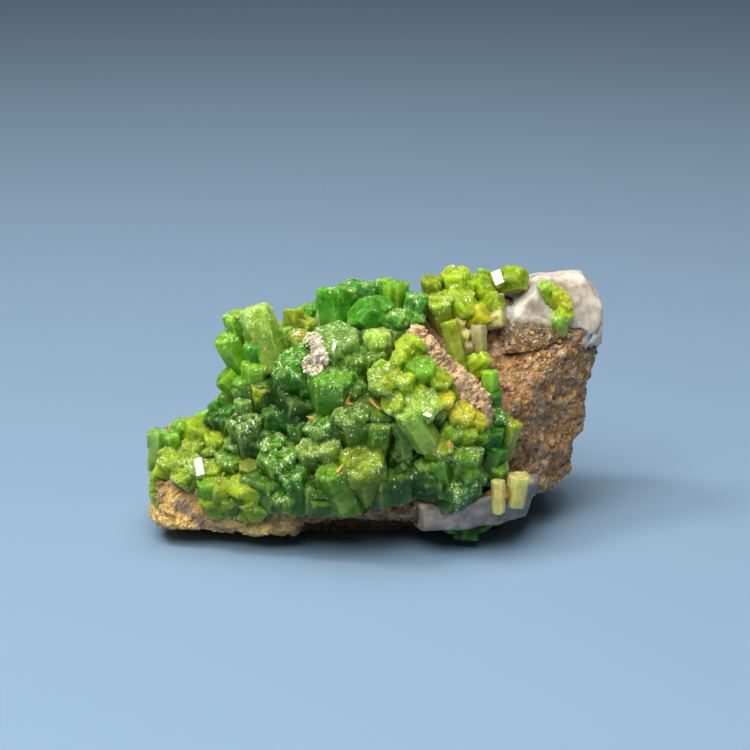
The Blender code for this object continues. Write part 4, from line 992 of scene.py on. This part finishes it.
# The rock's skin in millimetres, its layers of grains as (size, height, tilt, seed)
rock = {"voxel": 0.34, "swell": 0.12, "layers": ((1.8, 0.34, 0.36, 5), (0.8, 0.26, 0.22, 6)), "smooth": False,
        "wallLift": 1.2, "wallSwell": 0.5, "slot": "iron_stained_quartz", "nodes": ["matrix"]}
rockSkin = finishSkin(fineSkin("matrix", "rockMatrix", rock["voxel"]), rock, rockColour, brownQuartz)
grains = {"count": 15000, "size": 0.34, "sizeSpread": 0.35, "toneSpread": 0.16, "sunk": 0.2, "lowest": 0.35,
          "where": everywhere, "slot": "iron_stained_quartz", "nodes": ["matrix"],
          "mix": (("honey", 0.0, 0.07), ("grey", 0.07, 0.16), ("dark", 0.16, 0.24), ("rust", 0.24, 0.27),
                  ("white", 0.27, 0.31), ("pink", 0.31, 0.40))}
grainPiece("quartzGrains", rockSkin, grains, rockColour, brownQuartz)
print("rock done")

milkyQuartz = quartzMaterial("milkyQuartz", {
    "facet": 0.5, "cloud": 2.0, "speckle": 0.08, "pit": 0.0, "roughness": 0.68, "tilt": 0.2,
    "transmission": 0.1, "subsurface": 1.0, "glow": 2.5})


def capEdge(points):
    # 1 low down, where brown rock covers the white quartz, 0 above. The border lies 24.2 to 25.4 mm
    # up in the view, uneven and falling to the right.
    seenRise = (points - view["stance"]) @ viewUp / mm + 0.7 * waves(points, 1.6 * mm, 34)
    return share(-seenRise - 0.7 * np.maximum(points[:, 0] / mm - 19, 0), -25.4, -24.2)


def capColour(points):
    # greyish white with a pink breath, brown where it passes into the rock
    colour = np.tile(linear((202, 192, 176)), (len(points), 1))
    colour = blended(colour, linear((180, 158, 138)), 0.6 * share(waves(points, 3 * mm, 31), 0.0, 1.0))
    colour = blended(colour, rockColour(points), capEdge(points))
    return blended(colour, linear((176, 110, 50)), 0.5 * share(waves(points, 1.5 * mm, 32), 1.0, 1.4))


def baseColour(points):
    # smooth lilac grey, with beige on its left
    x = points[:, 0] / mm
    colour = np.tile(linear((154, 145, 140)), (len(points), 1))
    colour = blended(colour, linear((168, 152, 132)), 0.8 * share(-x, -8, -5))
    return blended(colour, linear((110, 92, 88)), 0.6 * share(waves(points, 2 * mm, 33), 0.2, 1.0))


milky = {"voxel": 0.22, "swell": 0.06, "layers": ((3.2, 0.05, 0.28, 7), (1.1, 0.02, 0.05, 8)), "smooth": True,
         "wallLift": 0.0, "wallSwell": 0.0, "slot": "milky_quartz"}
capSkin = finishSkin(fineSkin("milky_quartz_cap", "milkyCap", milky["voxel"]),
                     {**milky, "nodes": ["milky_quartz_cap"]}, capColour, milkyQuartz)
grainPiece("capGrains", capSkin, {**grains, "count": 7000, "where": capEdge, "nodes": ["milky_quartz_cap"]},
           rockColour, brownQuartz)
finishSkin(fineSkin("milky_quartz_base", "milkySliver", milky["voxel"]),
           {**milky, "nodes": ["milky_quartz_base"]}, baseColour, milkyQuartz)
print("milky quartz done")


# What lies on the crystals, in millimetres and degrees. The crust is a pinkish cream one of grains,
# its patches are (across, rise, radius). The chips are iron ore: (across, rise, length, angle).
def laidGrains(name, spots, axes, sizes, settings):
    points, faces = grainPatch(spots, axes, sizes, settings["squash"])
    tint = linear(settings["colour"]) * np.exp(rng.normal(0, settings["toneSpread"], (len(spots), 1)))
    layers = {"tone": np.repeat(tint, 6, 0)}
    return buildMesh(name, points, [faces], settings["slot"], settings["nodes"], layers, brownQuartz)


crust = {"patches": ((-6.8, 22.6, 1.1), (-6.2, 21.4, 0.8), (-6.8, 19.9, 1.25), (-5.9, 20.6, 0.9)), "each": 150,
         "size": 0.36, "sizeSpread": 0.35, "stray": 0.6, "squash": 1.0, "colour": (250, 226, 196),
         "toneSpread": 0.12, "slot": "milky_quartz", "nodes": ["main_crust"]}
middles = np.repeat(np.array(crust["patches"]), crust["each"], 0)
turnAbout = rng.uniform(0, 2 * math.pi, len(middles))
away = middles[:, 2] * np.sqrt(rng.uniform(0, 1, len(middles)))
strewn = middles[:, :2] + away[:, None] * np.stack([np.cos(turnAbout), np.sin(turnAbout)], -1)
spots, ways, _ = struck(crystals, strewn)
grainSizes = crust["size"] * mm * np.exp(rng.normal(0, crust["sizeSpread"], len(spots)))
laidGrains("creamCrust", spots, unit(ways + rng.normal(0, crust["stray"], spots.shape)), grainSizes, crust)

chips = {"rows": ((-2.9, 15.7, 1.3, 70), (-2.4, 15.3, 0.8, 20), (0.1, 15.5, 1.2, 110), (0.7, 14.9, 0.9, 150),
                  (-3.7, 7.7, 1.2, 25), (9.0, 10.8, 1.1, 80), (9.3, 10.3, 0.7, 20), (-12.4, 21.6, 0.6, 60),
                  (-10.5, 22.9, 0.5, 0), (-8.3, 23.2, 0.8, 30), (-17.3, 7.2, 0.8, 60), (-15.4, 25.4, 0.8, 10),
                  (-12.4, 19.4, 0.7, 90), (-6.9, 13.6, 1.2, 160), (4.6, 21.3, 0.6, 40), (1.5, 17.8, 0.8, 170),
                  (-17.7, 6.3, 0.7, 130)),
         "raised": 0.1, "stretch": 1.15, "squash": 0.45, "colour": (222, 164, 84), "toneSpread": 0.15,
         "slot": "iron_stained_quartz", "nodes": ["main_crust"]}
spots, ways, met = struck(crystals, np.array(chips["rows"]))
slant = np.radians(met[:, 3])
lying = np.cos(slant)[:, None] * sideways + np.sin(slant)[:, None] * viewUp
lying = unit(lying - (lying * ways).sum(1)[:, None] * ways)
laidGrains("ironChips", spots + ways * chips["raised"] * mm, lying, met[:, 2] * mm * chips["stretch"], chips)

# Crystal faces that mirror the key light to the viewer: small plates whose way out lies halfway
# between the two. Rows: across, rise, width, height in millimetres and slant in degrees.
mirrors = {"rows": ((14.6, 29.9, 1.1, 1.8, -25), (-19.9, 8.0, 0.9, 2.2, -18), (-13.7, 26.8, 1.4, 0.35, -15),
                    (9.6, 31.0, 0.4, 0.8, -30), (6.5, 14.0, 0.9, 0.4, 25), (-4.3, 21.9, 0.35, 0.9, 0),
                    (-8.6, 23.4, 0.3, 0.6, 45)),
           "raised": 0.25, "sunk": 0.6, "slot": "green_pyromorphite", "nodes": ["main_crust"]}
keyLight = (-0.20, -0.06, 0.34)
spots, ways, met = struck(crystals, np.array(mirrors["rows"]))
halfway = unit(unit(np.array(keyLight) - spots) + unit(view["stance"] + eye - spots))
slant = np.radians(met[:, 4])
plateUp = np.cos(slant)[:, None] * viewUp + np.sin(slant)[:, None] * sideways
plateUp = unit(plateUp - (plateUp * halfway).sum(1)[:, None] * halfway)
plateSide = np.cross(plateUp, halfway)
corners = np.array([(-0.5, -0.5), (0.5, -0.5), (0.5, 0.5), (-0.5, 0.5)])
flat = (corners[:, :1] * met[:, None, 2:3] * plateSide[:, None]
        + corners[:, 1:] * met[:, None, 3:4] * plateUp[:, None])
front = spots[:, None] + (flat + mirrors["raised"] * halfway[:, None]) * mm
points = np.concatenate([front, front - (mirrors["raised"] + mirrors["sunk"]) * mm * halfway[:, None]], 1)
corner = np.arange(4)
nextCorner = (corner + 1) % 4
plateSides = np.stack([corner, corner + 4, nextCorner + 4, nextCorner], -1)
plateFaces = np.concatenate([[corner, 7 - corner], plateSides])
faces = (plateFaces + np.arange(len(spots))[:, None, None] * 8).reshape(-1, 4)
mirrorTone = np.tile(linear(tones["pale"]), (len(spots) * 8, 1))
still = np.zeros(len(mirrorTone))
buildMesh("brightFacets", points.reshape(-1, 3), [faces], mirrors["slot"], mirrors["nodes"],
          {"tone": mirrorTone, "grown": points.reshape(-1, 3), "frost": still, "bend": still, "behind": still},
          brightCrystal)
print("small things laid on", sum(triangleCounts), "triangles in all")


# Floor, light and camera
def plainSurface(name, colour):
    material, tree, shader = newMaterial(name)
    finishShader(tree, shader, {"Base Color": (*linear(colour), 1), "Roughness": 0.9})
    return material


floorMesh = bpy.data.meshes.new("floor")
floorMesh.from_pydata([(-1.5, -1, 0), (1.5, -1, 0), (1.5, 2, 0), (-1.5, 2, 0)], [], [(0, 1, 2, 3)])
floorMesh.materials.append(plainSurface("paleFloor", (124, 149, 172)))
floor = bpy.data.objects.new("floor", floorMesh)
bpy.context.scene.collection.objects.link(floor)


def softbox(name, place, size, power, colour, shiny, aim=(0, 0, 0.012)):
    light = bpy.data.lights.new(name, "AREA")
    light.shape, light.size, light.energy, light.color = "SQUARE", size, power, colour
    lamp = bpy.data.objects.new(name, light)
    lamp.location = place
    lamp.visible_glossy = shiny
    lamp.rotation_euler = (Vector(aim) - Vector(place)).to_track_quat("-Z", "Y").to_euler()
    bpy.context.scene.collection.objects.link(lamp)


softbox("key", keyLight, 0.09, 0.66, (1.0, 0.98, 0.95), True)
softbox("top", (0.02, 0.02, 0.42), 0.30, 0.85, (1.0, 0.99, 0.97), True)
softbox("front", (-0.07, -0.24, 0.38), 0.30, 2.35, (1.0, 0.99, 0.97), False)
world = bpy.data.worlds.new("studio")
world.use_nodes = True
background = world.node_tree.nodes["Background"]
background.inputs["Color"].default_value = (0.86, 0.93, 1.0, 1)
background.inputs["Strength"].default_value = 0.09
bpy.context.scene.world = world
bpy.context.scene.view_settings.view_transform = "Standard"

camera = bpy.data.cameras.new("camera")
camera.sensor_width = 36
camera.lens = camera.sensor_width * view["distance"] / (view["frame"] * view["pixel"])
camera.clip_start = 1 * mm
viewer = bpy.data.objects.new("camera", camera)
viewer.location = view["stance"] + eye
viewer.rotation_euler = (math.pi / 2 - view["fall"], 0, 0)
bpy.context.scene.collection.objects.link(viewer)
bpy.context.scene.camera = viewer

bpy.context.view_layer.update()
